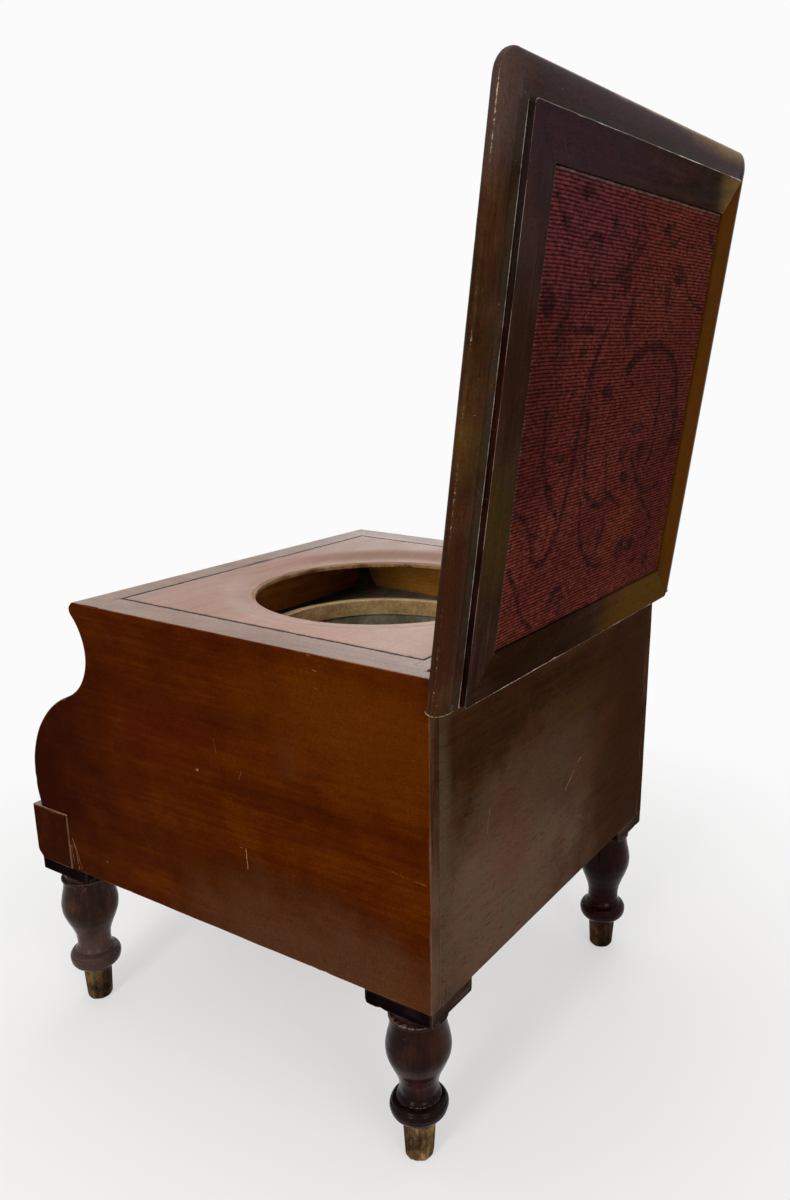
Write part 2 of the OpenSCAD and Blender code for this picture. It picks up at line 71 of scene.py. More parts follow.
def lidBox(node):
    # lowest and highest x, reach and height of a node on the lid
    points = np.array([v.co for v in frame["nodes"][node].data.vertices]) - hinge
    c, s = math.cos(openAngle), math.sin(openAngle)
    local = np.stack([points[:, 0], points[:, 2] * s - points[:, 1] * c,
                      points[:, 1] * s + points[:, 2] * c], -1)
    return local.min(0), local.max(0)


def standing(order):
    # puts an outline's a and b and the depth c on the axes that order names, such as "yzx"
    spot = [order.index(axis) for axis in "xyz"]
    return lambda a, b, c: np.stack([np.broadcast_arrays(a, b, c)[i] for i in spot], -1)


sideLow, sideHigh = nodeBox("side_right")
backFace, caseTop, halfWidth, innerHalf = sideHigh[1], sideHigh[2], sideHigh[0], sideLow[0]
# How far the hole and the hoop stand from the back, and the planes on which the seen marks lie
holeDepth = 0.207
sidePlane, seatPlane, shelfPlane, hoopPlane = 0.220, 0.467, 0.401, 0.419


# Shapes worked out as arrays

def wander(along, seed, length):
    # six sines with seeded rates and phases added up, about -1 to 1, over roughly the given length
    dice = np.random.default_rng(seed)
    rates = dice.uniform(0.5, 2.5, 6) * 2 * math.pi / length
    phases = dice.uniform(0, 2 * math.pi, 6)
    return np.sin(np.asarray(along)[..., None] * rates + phases).sum(-1) / 3


def nicks(along, seed, total, count, depth, width):
    # a few small bell-shaped dents at seeded places along an edge
    dice = np.random.default_rng(seed)
    at, size = dice.uniform(0, total, count), dice.uniform(0.3, 1.0, count) * depth
    spread = dice.uniform(0.5, 1.5, count) * width
    return (size * np.exp(-((np.asarray(along)[..., None] - at) / spread) ** 2)).sum(-1)


def arcPoints(cy, cz, radius, start, end, steps):
    # points on a circle about cy, cz between two angles in degrees
    angles = np.radians(np.linspace(start, end, steps + 1))
    return np.stack([cy + radius * np.cos(angles), cz + radius * np.sin(angles)], -1)


def easeBetween(r0, z0, r1, z1, steps):
    # radius and height pairs that swell or shrink along half a cosine
    t = np.linspace(0, 1, steps + 1)
    return np.stack([r0 + (r1 - r0) * (1 - np.cos(math.pi * t)) / 2, z0 + (z1 - z0) * t], -1)


def loopOf(outline, corner, spacing, tight=(), joined=()):
    # walks anticlockwise round a closed outline: turns sharper than 25 degrees become small arcs of
    # the corner radius, and long edges are cut every spacing. Edges listed in tight stay crisp, and
    # those in joined are mitres, along which the corners slide when the outline is inset
    outline = np.asarray(outline, float)
    count = len(outline)
    ahead = np.roll(outline, -1, 0) - outline
    lengths = np.linalg.norm(ahead, axis=1)
    ahead = ahead / lengths[:, None]
    behind = np.roll(ahead, 1, 0)
    turn = np.arctan2(behind[:, 0] * ahead[:, 1] - behind[:, 1] * ahead[:, 0], (behind * ahead).sum(1))
    inward = np.stack([-ahead[:, 1], ahead[:, 0]], -1)
    before = np.roll(inward, 1, 0)
    mitre = (inward + before) / (1 + (inward * before).sum(1))[:, None]
    rows = []
    for i in range(count):
        sharp = abs(turn[i]) > 0.44
        crisp = i in tight or (i - 1) % count in tight
        if i in joined:
            slide = ahead[i] / (ahead[i] * before[i]).sum()
            rows.append([*outline[i], *slide, *outline[i], 0, False, 0.01, True])
        elif (i - 1) % count in joined:
            slide = -behind[i] / (-behind[i] * inward[i]).sum()
            rows.append([*outline[i], *slide, *outline[i], 0, False, 0.01, True])
        elif sharp:
            cut = min(corner * math.tan(abs(turn[i]) / 2), 0.4 * lengths[i], 0.4 * lengths[i - 1])
            for t in np.linspace(0, 1, 5):
                spot = outline[i] + ahead[i] * cut * t * t - behind[i] * cut * (1 - t) ** 2
                rows.append([*spot, *mitre[i], *outline[i], np.sign(turn[i]), crisp, 0.0, False])
        else:
            rows.append([*outline[i], *mitre[i], *outline[i], 0, crisp, 0.01, False])
        cuts = max(int(lengths[i] / spacing), 1)
        for k in range(1, cuts):
            spot = outline[i] + ahead[i] * lengths[i] * k / cuts
            away = min(k, cuts - k) * lengths[i] / cuts
            way = inward[i] * (i not in joined)
            rows.append([*spot, *way, *spot, 0, i in tight or i in joined, min(away, 0.01), False])
    rows = np.array(rows)
    steps = np.linalg.norm(np.roll(rows[:, :2], -1, 0) - rows[:, :2], axis=1)
    return dict(points=rows[:, 0:2], mitre=rows[:, 2:4], sharp=rows[:, 4:6], bend=rows[:, 6],
                crisp=rows[:, 7] > 0, away=rows[:, 8], slid=rows[:, 9] > 0, corner=corner,
                along=np.concatenate([[0], np.cumsum(steps)[:-1]]), total=steps.sum())


def inset(loop, depth):
    # the loop moved inwards by depth, square to each edge; a rounded corner shrinks about its centre
    depth = np.broadcast_to(depth, loop["along"].shape)[:, None]
    points, mitre, sharp, corner = loop["points"], loop["mitre"], loop["sharp"], loop["corner"]
    centre = sharp + mitre * corner
    rounded = np.where(depth < corner, centre + (points - centre) * (1 - depth / corner),
                       sharp + mitre * depth)
    centre = sharp - mitre * corner
    hollow = centre + (points - centre) * (1 + depth / corner)
    bend = loop["bend"][:, None]
    return np.where(bend > 0, rounded, np.where(bend < 0, hollow, points + mitre * depth))


def stripFaces(rows, columns, closed=True):
    # quads between neighbouring rows of a grid, whose rows may close on themselves
    r, c = np.meshgrid(np.arange(rows - 1), np.arange(columns if closed else columns - 1), indexing="ij")
    d = (c + 1) % columns
    quads = np.stack([r * columns + c, r * columns + d, (r + 1) * columns + d, (r + 1) * columns + c], -1)
    return quads.reshape(-1, 4).tolist()


def makePiece(name, points, faces, looks, body="case", replaces=(), slot=None, layers=None, second=None,
              uv=None):
    # one mesh from arrays: doubles merged, faces turned outwards, layers kept as point attributes
    mesh = bpy.data.meshes.new(name)
    mesh.from_pydata(np.asarray(points, float).reshape(-1, 3).tolist(), [], faces)
    for key, values in (layers or {}).items():
        layer = mesh.attributes.new(key, "FLOAT", "POINT")
        shaped = np.broadcast_to(values, np.shape(points)[:-1])
        layer.data.foreach_set("value", np.ravel(shaped).astype(np.float32))
    if uv is not None:
        corners = np.empty(len(mesh.loops), np.int32)
        mesh.loops.foreach_get("vertex_index", corners)
        cornerUv = uv.reshape(-1, 2)[corners].astype(np.float32)
        mesh.uv_layers.new(name="along").data.foreach_set("uv", cornerUv.ravel())
    bm = bmesh.new()
    bm.from_mesh(mesh)
    bmesh.ops.remove_doubles(bm, verts=bm.verts, dist=2e-7)
    if bm.calc_volume(signed=True) < 0:
        bmesh.ops.reverse_faces(bm, faces=bm.faces)
    bm.to_mesh(mesh)
    bm.free()
    for look in looks if isinstance(looks, list) else [looks]:
        mesh.materials.append(look)
    mesh.polygons.foreach_set("use_smooth", [True] * len(mesh.polygons))
    if second is not None:
        centres = np.empty(len(mesh.polygons) * 3)
        mesh.polygons.foreach_get("center", centres)
        mesh.polygons.foreach_set("material_index", second(centres.reshape(-1, 3)).astype(np.int32))
    mesh.update()
    piece = bpy.data.objects.new(name, mesh)
    bpy.context.scene.collection.objects.link(piece)
    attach(piece, body)
    if replaces:
        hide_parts(*replaces)
    return piece


def makeBoard(name, outline, near, far, place, look, arris=(0.8 * mm, 0.8 * mm), corner=0.8 * mm, tight=(),
              joined=(), spacing=7 * mm, border=5 * mm, seed=1, wear=0.35, dents=6, wide=None, **rest):
    # an outline drawn through from depth near to depth far. At each end the arris is a quarter round
    # whose radius wanders and is nicked, then the flat face closes it. Attribute edge is the distance
    # to the nearest arris
    loop = loopOf(outline, corner, spacing, tight, joined)
    along, total, arcSteps = loop["along"], loop["total"], 4
    radii = []
    for end, radius in enumerate(arris):
        worn = 1 + wear * wander(along, seed + end, 90 * mm) + nicks(along, seed + 7 + end, total, dents,
                                                                     1.4, 2.2 * mm)
        worn = np.where(loop["slid"], 1, worn)
        size = np.where(loop["crisp"], 0.03 * mm,
                        radius * np.clip(worn, 0.45, 2.6) if radius > 0.3 * mm else radius)
        radii.append(np.where(wide(loop["points"]), wide.radius, size) if wide and end == wide.end else size)
    rows, depths, edges = [], [], []

    def addRing(shape, depth, edge):
        rows.append(shape)
        depths.append(np.broadcast_to(depth, along.shape))
        edges.append(np.where(loop["crisp"], 10 * mm, edge))

    thick = far - near
    inner = [(border, 12 * mm), (border * 0.55, border * 0.55), (border * 0.25, border * 0.25)]
    for extra, gap in inner:
        addRing(inset(loop, radii[0] + extra), near, gap)
    for angle in np.linspace(0, math.pi / 2, arcSteps + 1):
        addRing(inset(loop, radii[0] * (1 - math.sin(angle))), near + radii[0] * (1 - math.cos(angle)), 0)
    cuts = max(int(thick / spacing), 1)
    shares = sorted({1.5 * mm / thick, 1 - 1.5 * mm / thick, *[k / cuts for k in range(1, cuts)]})
    for share in [s for s in shares if 0.02 < s < 0.98]:
        addRing(inset(loop, 0), (near + radii[0]) * (1 - share) + (far - radii[1]) * share,
                np.minimum(loop["away"], min(share, 1 - share) * thick))
    for angle in np.linspace(math.pi / 2, 0, arcSteps + 1):
        addRing(inset(loop, radii[1] * (1 - math.sin(angle))), far - radii[1] * (1 - math.cos(angle)), 0)
    for extra, gap in inner[::-1]:
        addRing(inset(loop, radii[1] + extra), far, gap)
    rings, depths = np.array(rows), np.array(depths)
    count, n = rings.shape[:2]
    faces = stripFaces(count, n) + [list(range(n))[::-1], list(range((count - 1) * n, count * n))]
    points = place(rings[..., 0], rings[..., 1], depths)
    return makePiece(name, points, faces, look, layers=dict(edge=np.array(edges)), **rest)


def makeTurned(name, profile, centre, looks, segments=96, ripple=None, **rest):
    # a profile of radius and height pairs carried round a vertical axis; both ends close on the axis
    angles = np.linspace(0, 2 * math.pi, segments, endpoint=False)
    radius = profile[:, 0][:, None] + (ripple(angles[None, :], profile[:, 1][:, None]) if ripple else 0)
    radius = np.where(profile[:, 0][:, None] < 1e-6, 0, radius)
    points = np.stack([centre[0] + radius * np.cos(angles), centre[1] + radius * np.sin(angles),
                       np.broadcast_to(profile[:, 1][:, None], radius.shape)], -1)
    return makePiece(name, points, stripFaces(len(profile), segments), looks, **rest)


def spaced(profile, step):
    # the same line with its points at even steps
    lengths = np.concatenate([[0], np.cumsum(np.linalg.norm(np.diff(profile, axis=0), axis=1))])
    at = np.linspace(0, lengths[-1], max(int(lengths[-1] / step), 2) + 1)
    at = np.unique(np.concatenate([at, lengths]))
    at = at[np.concatenate([[True], np.diff(at) > 1e-5])]
    return np.stack([np.interp(at, lengths, profile[:, i]) for i in range(profile.shape[1])], -1)


def cutAway(piece, cutters):
    # takes boxes and rods out of a piece, for the hinge recesses
    for cutter in cutters:
        modifier = piece.modifiers.new("recess", "BOOLEAN")
        modifier.operation, modifier.solver, modifier.object = "DIFFERENCE", "EXACT", cutter
    bpy.context.view_layer.update()
    done = bpy.data.meshes.new_from_object(piece.evaluated_get(bpy.context.evaluated_depsgraph_get()))
    piece.modifiers.clear()
    piece.data = done
    for cutter in cutters:
        bpy.data.objects.remove(cutter)


def boxCutter(low, high, place=lambda x, y, z: (x, y, z)):
    # a box between two corners, turned by place where it isn't square to the axes
    corners = [place(x, y, z) for x in (low[0], high[0]) for y in (low[1], high[1])
               for z in (low[2], high[2])]
    mesh = bpy.data.meshes.new("cutter")
    mesh.from_pydata(np.asarray(corners).tolist(), [], [[0, 1, 3, 2], [4, 6, 7, 5], [0, 4, 5, 1],
                                                        [2, 3, 7, 6], [0, 2, 6, 4], [1, 5, 7, 3]])
    return cutterObject(mesh)


def cutterObject(mesh):
    bm = bmesh.new()
    bm.from_mesh(mesh)
    if bm.calc_volume(signed=True) < 0:
        bmesh.ops.reverse_faces(bm, faces=bm.faces)
    bm.to_mesh(mesh)
    bm.free()
    made = bpy.data.objects.new("cutter", mesh)
    bpy.context.scene.collection.objects.link(made)
    return made


# Shader building blocks

def plug(tree, made, inputs):
    # fills a node's inputs: sockets are linked, plain values are set
    for key, value in inputs.items():
        if isinstance(value, bpy.types.NodeSocket):
            tree.links.new(value, made.inputs[key])
        else:
            made.inputs[key].default_value = value


def addNode(tree, kind, settings=None, inputs=None):
    made = tree.nodes.new(kind)
    for key, value in (settings or {}).items():
        setattr(made, key, value)
    plug(tree, made, inputs or {})
    return made


def calc(tree, operation, a, b=0.0, c=0.0, clamp=False):
    settings = dict(operation=operation, use_clamp=clamp)
    return addNode(tree, "ShaderNodeMath", settings, {0: a, 1: b, 2: c}).outputs[0]


def vectorCalc(tree, operation, a, b=(0, 0, 0), out=0):
    return addNode(tree, "ShaderNodeVectorMath", dict(operation=operation), {0: a, 1: b}).outputs[out]


def times(tree, vector, factor):
    settings = dict(operation="SCALE")
    return addNode(tree, "ShaderNodeVectorMath", settings, {0: vector, "Scale": factor}).outputs[0]


def remap(tree, value, low, high, toLow=0.0, toHigh=1.0, smooth=True):
    kind = "SMOOTHSTEP" if smooth else "LINEAR"
    return addNode(tree, "ShaderNodeMapRange", dict(interpolation_type=kind, clamp=True),
                   {0: value, 1: low, 2: high, 3: toLow, 4: toHigh}).outputs[0]


def noise(tree, vector, scale, detail=2.0, rough=0.5, out=0):
    return addNode(tree, "ShaderNodeTexNoise", {}, {"Vector": vector, "Scale": scale, "Detail": detail,
                                                    "Roughness": rough}).outputs[out]


def stretchedNoise(tree, vector, stretch, detail, rough=0.5):
    return noise(tree, vectorCalc(tree, "MULTIPLY", vector, stretch), 1, detail, rough)


def push(tree, vector, size, *settings):
    # noise from -size / 2 to size / 2 along each axis, to move a vector about with
    wave = vectorCalc(tree, "SUBTRACT", noise(tree, vector, *settings, out=1), (0.5, 0.5, 0.5))
    return vectorCalc(tree, "MULTIPLY", wave, size)


def colourMix(tree, share, a, b):
    a, b = (value if isinstance(value, bpy.types.NodeSocket) else (*value, 1) for value in (a, b))
    return addNode(tree, "ShaderNodeMix", dict(data_type="RGBA"), {0: share, 6: a, 7: b}).outputs[2]


def paint(tree, colour, mask, amount, tint):
    # the colour covered with a tint by a share of the mask
    return colourMix(tree, calc(tree, "MULTIPLY", mask, amount), colour, tint)


def dimmed(colour, factor, extra=0.0):
    return [c * factor + extra for c in colour]


def ramp(tree, value, stops):
    made = addNode(tree, "ShaderNodeValToRGB", {}, {0: value})
    elements = made.color_ramp.elements
    while len(elements) < len(stops):
        elements.new(0.5)
    for element, (position, colour) in zip(elements, stops):
        element.position, element.color = position, (*colour, 1)
    return made.outputs[0]


def attribute(tree, key):
    return addNode(tree, "ShaderNodeAttribute", dict(attribute_name=key)).outputs["Fac"]


def objectPlace(tree):
    return addNode(tree, "ShaderNodeTexCoord").outputs["Object"]


def newGroup(name, inputs, outputs):
    tree = bpy.data.node_groups.new(name, "ShaderNodeTree")
    for label, value in inputs.items():
        kind = "NodeSocketVector" if value is None or np.ndim(value) else "NodeSocketFloat"
        made = tree.interface.new_socket(label, in_out="INPUT", socket_type=kind)
        if value is not None:
            made.default_value = value
    for label in outputs:
        tree.interface.new_socket(label, in_out="OUTPUT", socket_type="NodeSocketFloat")
    return tree, tree.nodes.new("NodeGroupInput").outputs, tree.nodes.new("NodeGroupOutput").inputs


def useGroup(tree, group, **inputs):
    return addNode(tree, "ShaderNodeGroup", dict(node_tree=group), inputs).outputs


def makeGrain():
    # broad bands, streaks and fibres stretched along x, a mottle across them, and short open pores
    tree, given, result = newGroup("woodGrain", dict(Vector=None, Mottle=0.35), ["Tone", "Pores", "Relief"])
    stretched = vectorCalc(tree, "MULTIPLY", given["Vector"], (2.5, 9, 9))
    place = vectorCalc(tree, "ADD", given["Vector"], push(tree, stretched, (0, 0.012, 0.012), 1, 2))

    def layer(x, across, detail, rough=0.5):
        return stretchedNoise(tree, place, (x, across, across), detail, rough)

    bands, streaks = layer(1.3, 19, 3), layer(7, 190, 3, 0.6)
    fibres, poreField = layer(45, 1000, 2), layer(110, 2300, 1)
    mottle = stretchedNoise(tree, given["Vector"], (26, 38, 38), 4, 0.62)
    tone = calc(tree, "MULTIPLY", bands, 0.45)
    tone = calc(tree, "MULTIPLY_ADD", streaks, 0.33, tone)
    tone = calc(tree, "MULTIPLY_ADD", fibres, 0.22, tone)
    mottled = calc(tree, "MULTIPLY", calc(tree, "SUBTRACT", mottle, 0.5), given["Mottle"])
    pores = calc(tree, "MULTIPLY", remap(tree, poreField, 0.57, 0.70), remap(tree, streaks, 0.62, 0.42))
    relief = calc(tree, "MULTIPLY_ADD", fibres, 0.5, calc(tree, "MULTIPLY", streaks, 0.5))
    tree.links.new(calc(tree, "ADD", tone, mottled), result["Tone"])
    tree.links.new(pores, result["Pores"])
    tree.links.new(calc(tree, "MULTIPLY_ADD", pores, -0.8, relief), result["Relief"])
    return tree


def makeArrisWear():
    # bare wood along an arris: full at the edge, gone at a reach that varies in patches and nibbles
    tree, given, result = newGroup("arrisWear", dict(Vector=None, Edge=0.0, Reach=1.5 * mm, Amount=1.0),
                                   ["Worn"])
    patches = remap(tree, noise(tree, given["Vector"], 17, 3, 0.6), 0.40, 0.64, 0.12, 1.0)
    nibbles = remap(tree, noise(tree, given["Vector"], 420, 3, 0.7), 0.34, 0.70, 0.1, 1.9)
    reach = calc(tree, "MULTIPLY", calc(tree, "MULTIPLY", patches, nibbles), given["Reach"])
    fallen = calc(tree, "DIVIDE", given["Edge"], calc(tree, "MAXIMUM", reach, 1e-5))
    worn = calc(tree, "MULTIPLY", remap(tree, fallen, 1.0, 0.35), calc(tree, "POWER", patches, 0.6))
    tree.links.new(calc(tree, "MULTIPLY", worn, given["Amount"], clamp=True), result["Worn"])
    return tree


def makeLineMark():
    # a scratch or crack: how near a point lies to the straight line from Start to End
    settings = dict(Vector=None, Start=(0, 0, 0), End=(0, 0, 1), Width=0.5 * mm)
    tree, given, result = newGroup("lineMark", settings, ["Mask"])
    shaky = vectorCalc(tree, "ADD", given["Vector"], push(tree, given["Vector"], (2 * mm,) * 3, 130, 2))
    place = vectorCalc(tree, "SUBTRACT", shaky, given["Start"])
    line = vectorCalc(tree, "SUBTRACT", given["End"], given["Start"])
    share = calc(tree, "DIVIDE", vectorCalc(tree, "DOT_PRODUCT", place, line, 1),
                 vectorCalc(tree, "DOT_PRODUCT", line, line, 1), clamp=True)
    gap = vectorCalc(tree, "LENGTH", vectorCalc(tree, "SUBTRACT", place, times(tree, line, share)), out=1)
    uneven = remap(tree, noise(tree, given["Vector"], 90, 1), 0.3, 0.7, 0.5, 1.2)
    width = calc(tree, "MULTIPLY", given["Width"], uneven)
    tree.links.new(remap(tree, calc(tree, "DIVIDE", gap, width), 1.0, 0.25), result["Mask"])
    return tree


def makeFlecks():
    # small chips at a share of the cells of a scattered pattern
    tree, given, result = newGroup("flecks", dict(Vector=None, Scale=20.0, Size=0.1, Share=0.2), ["Mask"])
    place = vectorCalc(tree, "ADD", given["Vector"], push(tree, given["Vector"], (3 * mm,) * 3, 600, 3, 0.7))
    cells = addNode(tree, "ShaderNodeTexVoronoi", dict(feature="F1"),
                    {"Vector": place, "Scale": given["Scale"]})
    chance = addNode(tree, "ShaderNodeSeparateColor", {}, {0: cells.outputs["Color"]}).outputs
    picked = calc(tree, "GREATER_THAN", chance[0], calc(tree, "SUBTRACT", 1.0, given["Share"]))
    size = calc(tree, "MULTIPLY", given["Size"], calc(tree, "MULTIPLY_ADD", chance[1], 0.8, 0.2))
    spot = remap(tree, calc(tree, "DIVIDE", cells.outputs["Distance"], size), 1.0, 0.6)
    tree.links.new(calc(tree, "MULTIPLY", spot, picked), result["Mask"])
    return tree


def makeHairlines():
    # fine broken scratches: thin walls of a scattered pattern, kept only where a broad noise allows
    tree, given, result = newGroup("hairlines", dict(Vector=None, Scale=14.0, Amount=0.5), ["Mask"])
    bend = vectorCalc(tree, "MULTIPLY", noise(tree, given["Vector"], 6, 2, out=1), (0.05, 0.05, 0.05))
    place = vectorCalc(tree, "ADD", given["Vector"], bend)
    walls = addNode(tree, "ShaderNodeTexVoronoi", dict(feature="DISTANCE_TO_EDGE"),
                    {"Vector": place, "Scale": given["Scale"]}).outputs["Distance"]
    kept = remap(tree, noise(tree, given["Vector"], 31, 2), 0.52, 0.66)
    lines = calc(tree, "MULTIPLY", remap(tree, walls, 0.006, 0.001), kept)
    tree.links.new(calc(tree, "MULTIPLY", lines, given["Amount"]), result["Mask"])
    return tree


def makeSoftPatch():
    # a soft uneven patch about a centre, gone at the given half sizes
    settings = dict(Vector=None, Centre=(0, 0, 0), Size=(0.1, 0.1, 0.1))
    tree, given, result = newGroup("softPatch", settings, ["Mask"])
    place = vectorCalc(tree, "SUBTRACT", given["Vector"], given["Centre"])
    reach = vectorCalc(tree, "LENGTH", vectorCalc(tree, "DIVIDE", place, given["Size"]), out=1)
    gap = calc(tree, "MULTIPLY_ADD", noise(tree, given["Vector"], 22, 4, 0.6), 0.9,
               calc(tree, "SUBTRACT", reach, 0.45))
    tree.links.new(remap(tree, gap, 1.0, 0.2), result["Mask"])
    return tree


def makePolish():
    # roughness of an old hand-rubbed finish, with smears and dull spots
    tree, given, result = newGroup("polish", dict(Vector=None, Low=0.25, High=0.5), ["Rough"])
    smears = stretchedNoise(tree, given["Vector"], (7, 16, 16), 4, 0.65)
    grit = noise(tree, given["Vector"], 330, 2)
    both = calc(tree, "MULTIPLY_ADD", grit, 0.3, calc(tree, "MULTIPLY", smears, 0.7))
    tree.links.new(remap(tree, both, 0.36, 0.64, given["Low"], given["High"]), result["Rough"])
    return tree


grainGroup, wearGroup, lineGroup, fleckGroup = makeGrain(), makeArrisWear(), makeLineMark(), makeFlecks()
hairGroup, patchGroup, polishGroup = makeHairlines(), makeSoftPatch(), makePolish()
turnFor = dict(x=(0, 0, 0), y=(0, 0, -math.pi / 2), z=(0, math.pi / 2, 0),
               lidX=(openAngle, 0, 0), lidReach=(openAngle, 0, -math.pi / 2))


def newMaterial(name):
    material = bpy.data.materials.new(name)
    material.use_nodes = True
    tree = material.node_tree
    return material, tree, tree.nodes["Principled BSDF"]


def finishShader(tree, shader, height, strength, depth, **inputs):
    # the last step of a material: its relief as a bump, and the named inputs with spaces for underlines
    bump = addNode(tree, "ShaderNodeBump", {}, {"Height": height, "Strength": strength, "Distance": depth})
    plug(tree, shader, {"Normal": bump.outputs[0]})
    plug(tree, shader, {key.replace("_", " "): value for key, value in inputs.items()})


def patchMask(tree, place, centre, size):
    return useGroup(tree, patchGroup, Vector=place, Centre=centre, Size=size)["Mask"]


# What a wood finish holds unless it says otherwise: tones are dark, middle and light, each patch is centre,
# half sizes, colour and amount, flecks are scale, size, share and amount, lines start, end, width and amount
woodDefaults = dict(mottle=0.4, contrast=0.14, pores=0.5, bare=(0.30, 0.17, 0.09), hairs=0.0, hairScale=14.0,
                    speckle=0.5, bump=0.25, shift=(0, 0, 0), shineTint=(1, 1, 1), tints=0, wear=None,
                    dust=None, patches=(), flecks=(), lines=(), along=False, gloss=(0.5, 0.8))


def woodFinish(name, base=None, **changes):
    # polished or bare wood: grain, patches, pores, worn arrises, chips, scratches, then gloss and relief
    look = dict(woodDefaults, **dict(base or {}, **changes))
    dark, middle, light = look["tones"]
    material, tree, shader = newMaterial(name)
    place = objectPlace(tree)
    if look["along"]:
        flow = addNode(tree, "ShaderNodeUVMap", dict(uv_map="along")).outputs[0]
    else:
        flow = addNode(tree, "ShaderNodeMapping", {}, {"Vector": place, "Rotation": turnFor[look["grain"]],
                                                       "Location": look["shift"]}).outputs[0]
    grain = useGroup(tree, grainGroup, Vector=flow, Mottle=look["mottle"])
    spread = 1.4 * look["contrast"]
    colour = ramp(tree, grain["Tone"], [(0.5 - spread, dark), (0.5, middle), (0.5 + spread, light)])
    for centre, size, tint, amount in look["patches"]:
        colour = paint(tree, colour, patchMask(tree, place, centre, size), amount, tint)
    if look["tints"]:
        warmth = remap(tree, noise(tree, place, look["tints"], 4, 0.65), 0.36, 0.64)
        tint = colourMix(tree, warmth, (0.94, 1.02, 1.01), (1.07, 0.96, 0.95))
        colour = vectorCalc(tree, "MULTIPLY", colour, tint)
    colour = paint(tree, colour, grain["Pores"], look["pores"], dimmed(dark, 0.25))
    relief = calc(tree, "MULTIPLY", grain["Relief"], 0.5)
    rough = useGroup(tree, polishGroup, Vector=flow, Low=look["gloss"][0], High=look["gloss"][1])["Rough"]

    def wornMask(reach, amount):
        edge = attribute(tree, "edge")
        return useGroup(tree, wearGroup, Vector=place, Edge=edge, Reach=reach, Amount=amount)["Worn"]

    if look["wear"]:
        reach, amount = look["wear"]
        soft = wornMask(reach * 2.4, amount * 0.3)
        colour = colourMix(tree, soft, colour, dimmed(light, 1.7, 0.012))
        worn = wornMask(reach, amount)
        colour = colourMix(tree, worn, colour, look["bare"])
        rough = calc(tree, "MULTIPLY_ADD", worn, 0.3, rough, clamp=True)
        relief = calc(tree, "MULTIPLY_ADD", worn, -0.15, relief)
    # bands by the frame's foot, from the foot attribute: the moulding's first is a grey painted sheen in the
    # cove, its second a pale broken line at the foot
    if look["dust"]:
        foot = attribute(tree, "foot")
        broken = remap(tree, noise(tree, place, 45, 3, 0.6), 0.36, 0.56, 0.15, 1.0)
        for tint, start, end, amount in look["dust"]:
            mask = calc(tree, "MULTIPLY", remap(tree, foot, start, end), broken)
            colour = paint(tree, colour, mask, amount, tint)
    for scale, size, share, amount in look["flecks"]:
        chips = useGroup(tree, fleckGroup, Vector=place, Scale=scale, Size=size, Share=share)["Mask"]
        colour = paint(tree, colour, chips, amount, look["bare"])
        relief = calc(tree, "MULTIPLY_ADD", chips, -0.4, relief)
    if look["hairs"]:
        hairs = useGroup(tree, hairGroup, Vector=place, Scale=look["hairScale"], Amount=look["hairs"])["Mask"]
        colour = colourMix(tree, hairs, colour, look["bare"])
        relief = calc(tree, "MULTIPLY_ADD", hairs, -0.3, relief)
    for start, end, width, amount in look["lines"]:
        mark = useGroup(tree, lineGroup, Vector=place, Start=start, End=end, Width=width)["Mask"]
        colour = paint(tree, colour, mark, abs(amount), look["bare"] if amount > 0 else dimmed(dark, 0.3))
        relief = calc(tree, "MULTIPLY_ADD", mark, -1.0, relief)
    fine = noise(tree, place, 620, 2, 0.6)
    colour = times(tree, colour, calc(tree, "MULTIPLY_ADD", fine, 2 * look["speckle"], 1 - look["speckle"]))
    finishShader(tree, shader, relief, look["bump"], 0.4 * mm, Base_Color=colour, Roughness=rough,
                 Specular_IOR_Level=look["shine"], Specular_Tint=(*look["shineTint"], 1))
    return material


mahogany = dict(tones=((0.031, 0.0044, 0.0001), (0.054, 0.0084, 0.0002), (0.084, 0.0175, 0.0004)), pores=0.35,
                bare=(0.33, 0.18, 0.11), gloss=(0.22, 0.42), shine=0.004, shineTint=(1.0, 0.7, 0.35),
                mottle=0.45)
darkMahogany = dict(tones=((0.016, 0.0055, 0.0018), (0.040, 0.0150, 0.0055), (0.078, 0.0330, 0.0140)),
                    bare=(0.30, 0.19, 0.13), gloss=(0.24, 0.46), shine=0.0012, shineTint=(1.0, 0.8, 0.6))
# base for the inside finishes, whose light tones are painted light
pale = dict(mottle=0.6, shine=0.2, bump=0.3)

# Marks and patches seen in the photo, on the planes of the near side, the back and the seat
sideMarks = [((sidePlane, *start), (sidePlane, *end), width * mm, amount) for start, end, width, amount in (
    ((0.0175, 0.2692), (0.0185, 0.2496), 0.55, 0.8),
    ((0.0110, 0.2690), (0.0180, 0.2700), 0.4, 0.55),
    ((-0.0143, 0.3709), (-0.0112, 0.3514), 0.45, 0.22),
    ((0.0189, 0.3474), (0.0147, 0.3360), 0.5, 0.3),
    ((0.1787, 0.2959), (0.2120, 0.2929), 0.4, 0.3),
    ((0.0975, 0.4649), (0.1005, 0.4649), 0.8, 0.5),
    ((0.1030, 0.4530), (0.1075, 0.4530), 0.5, 0.45),
    ((0.1060, 0.4388), (0.1080, 0.4372), 0.9, 0.6),
    ((-0.0372, 0.3329), (-0.0360, 0.3329), 1.4, 0.6),
    ((-0.1770, 0.1986), (-0.1760, 0.1978), 1.1, 0.6),
    ((-0.2290, 0.2095), (-0.2184, 0.1771), 0.7, 0.8),
    ((-0.2260, 0.1960), (-0.2230, 0.1760), 0.6, 0.7),
    ((-0.2315, 0.2010), (-0.2300, 0.1790), 0.5, 0.6))]
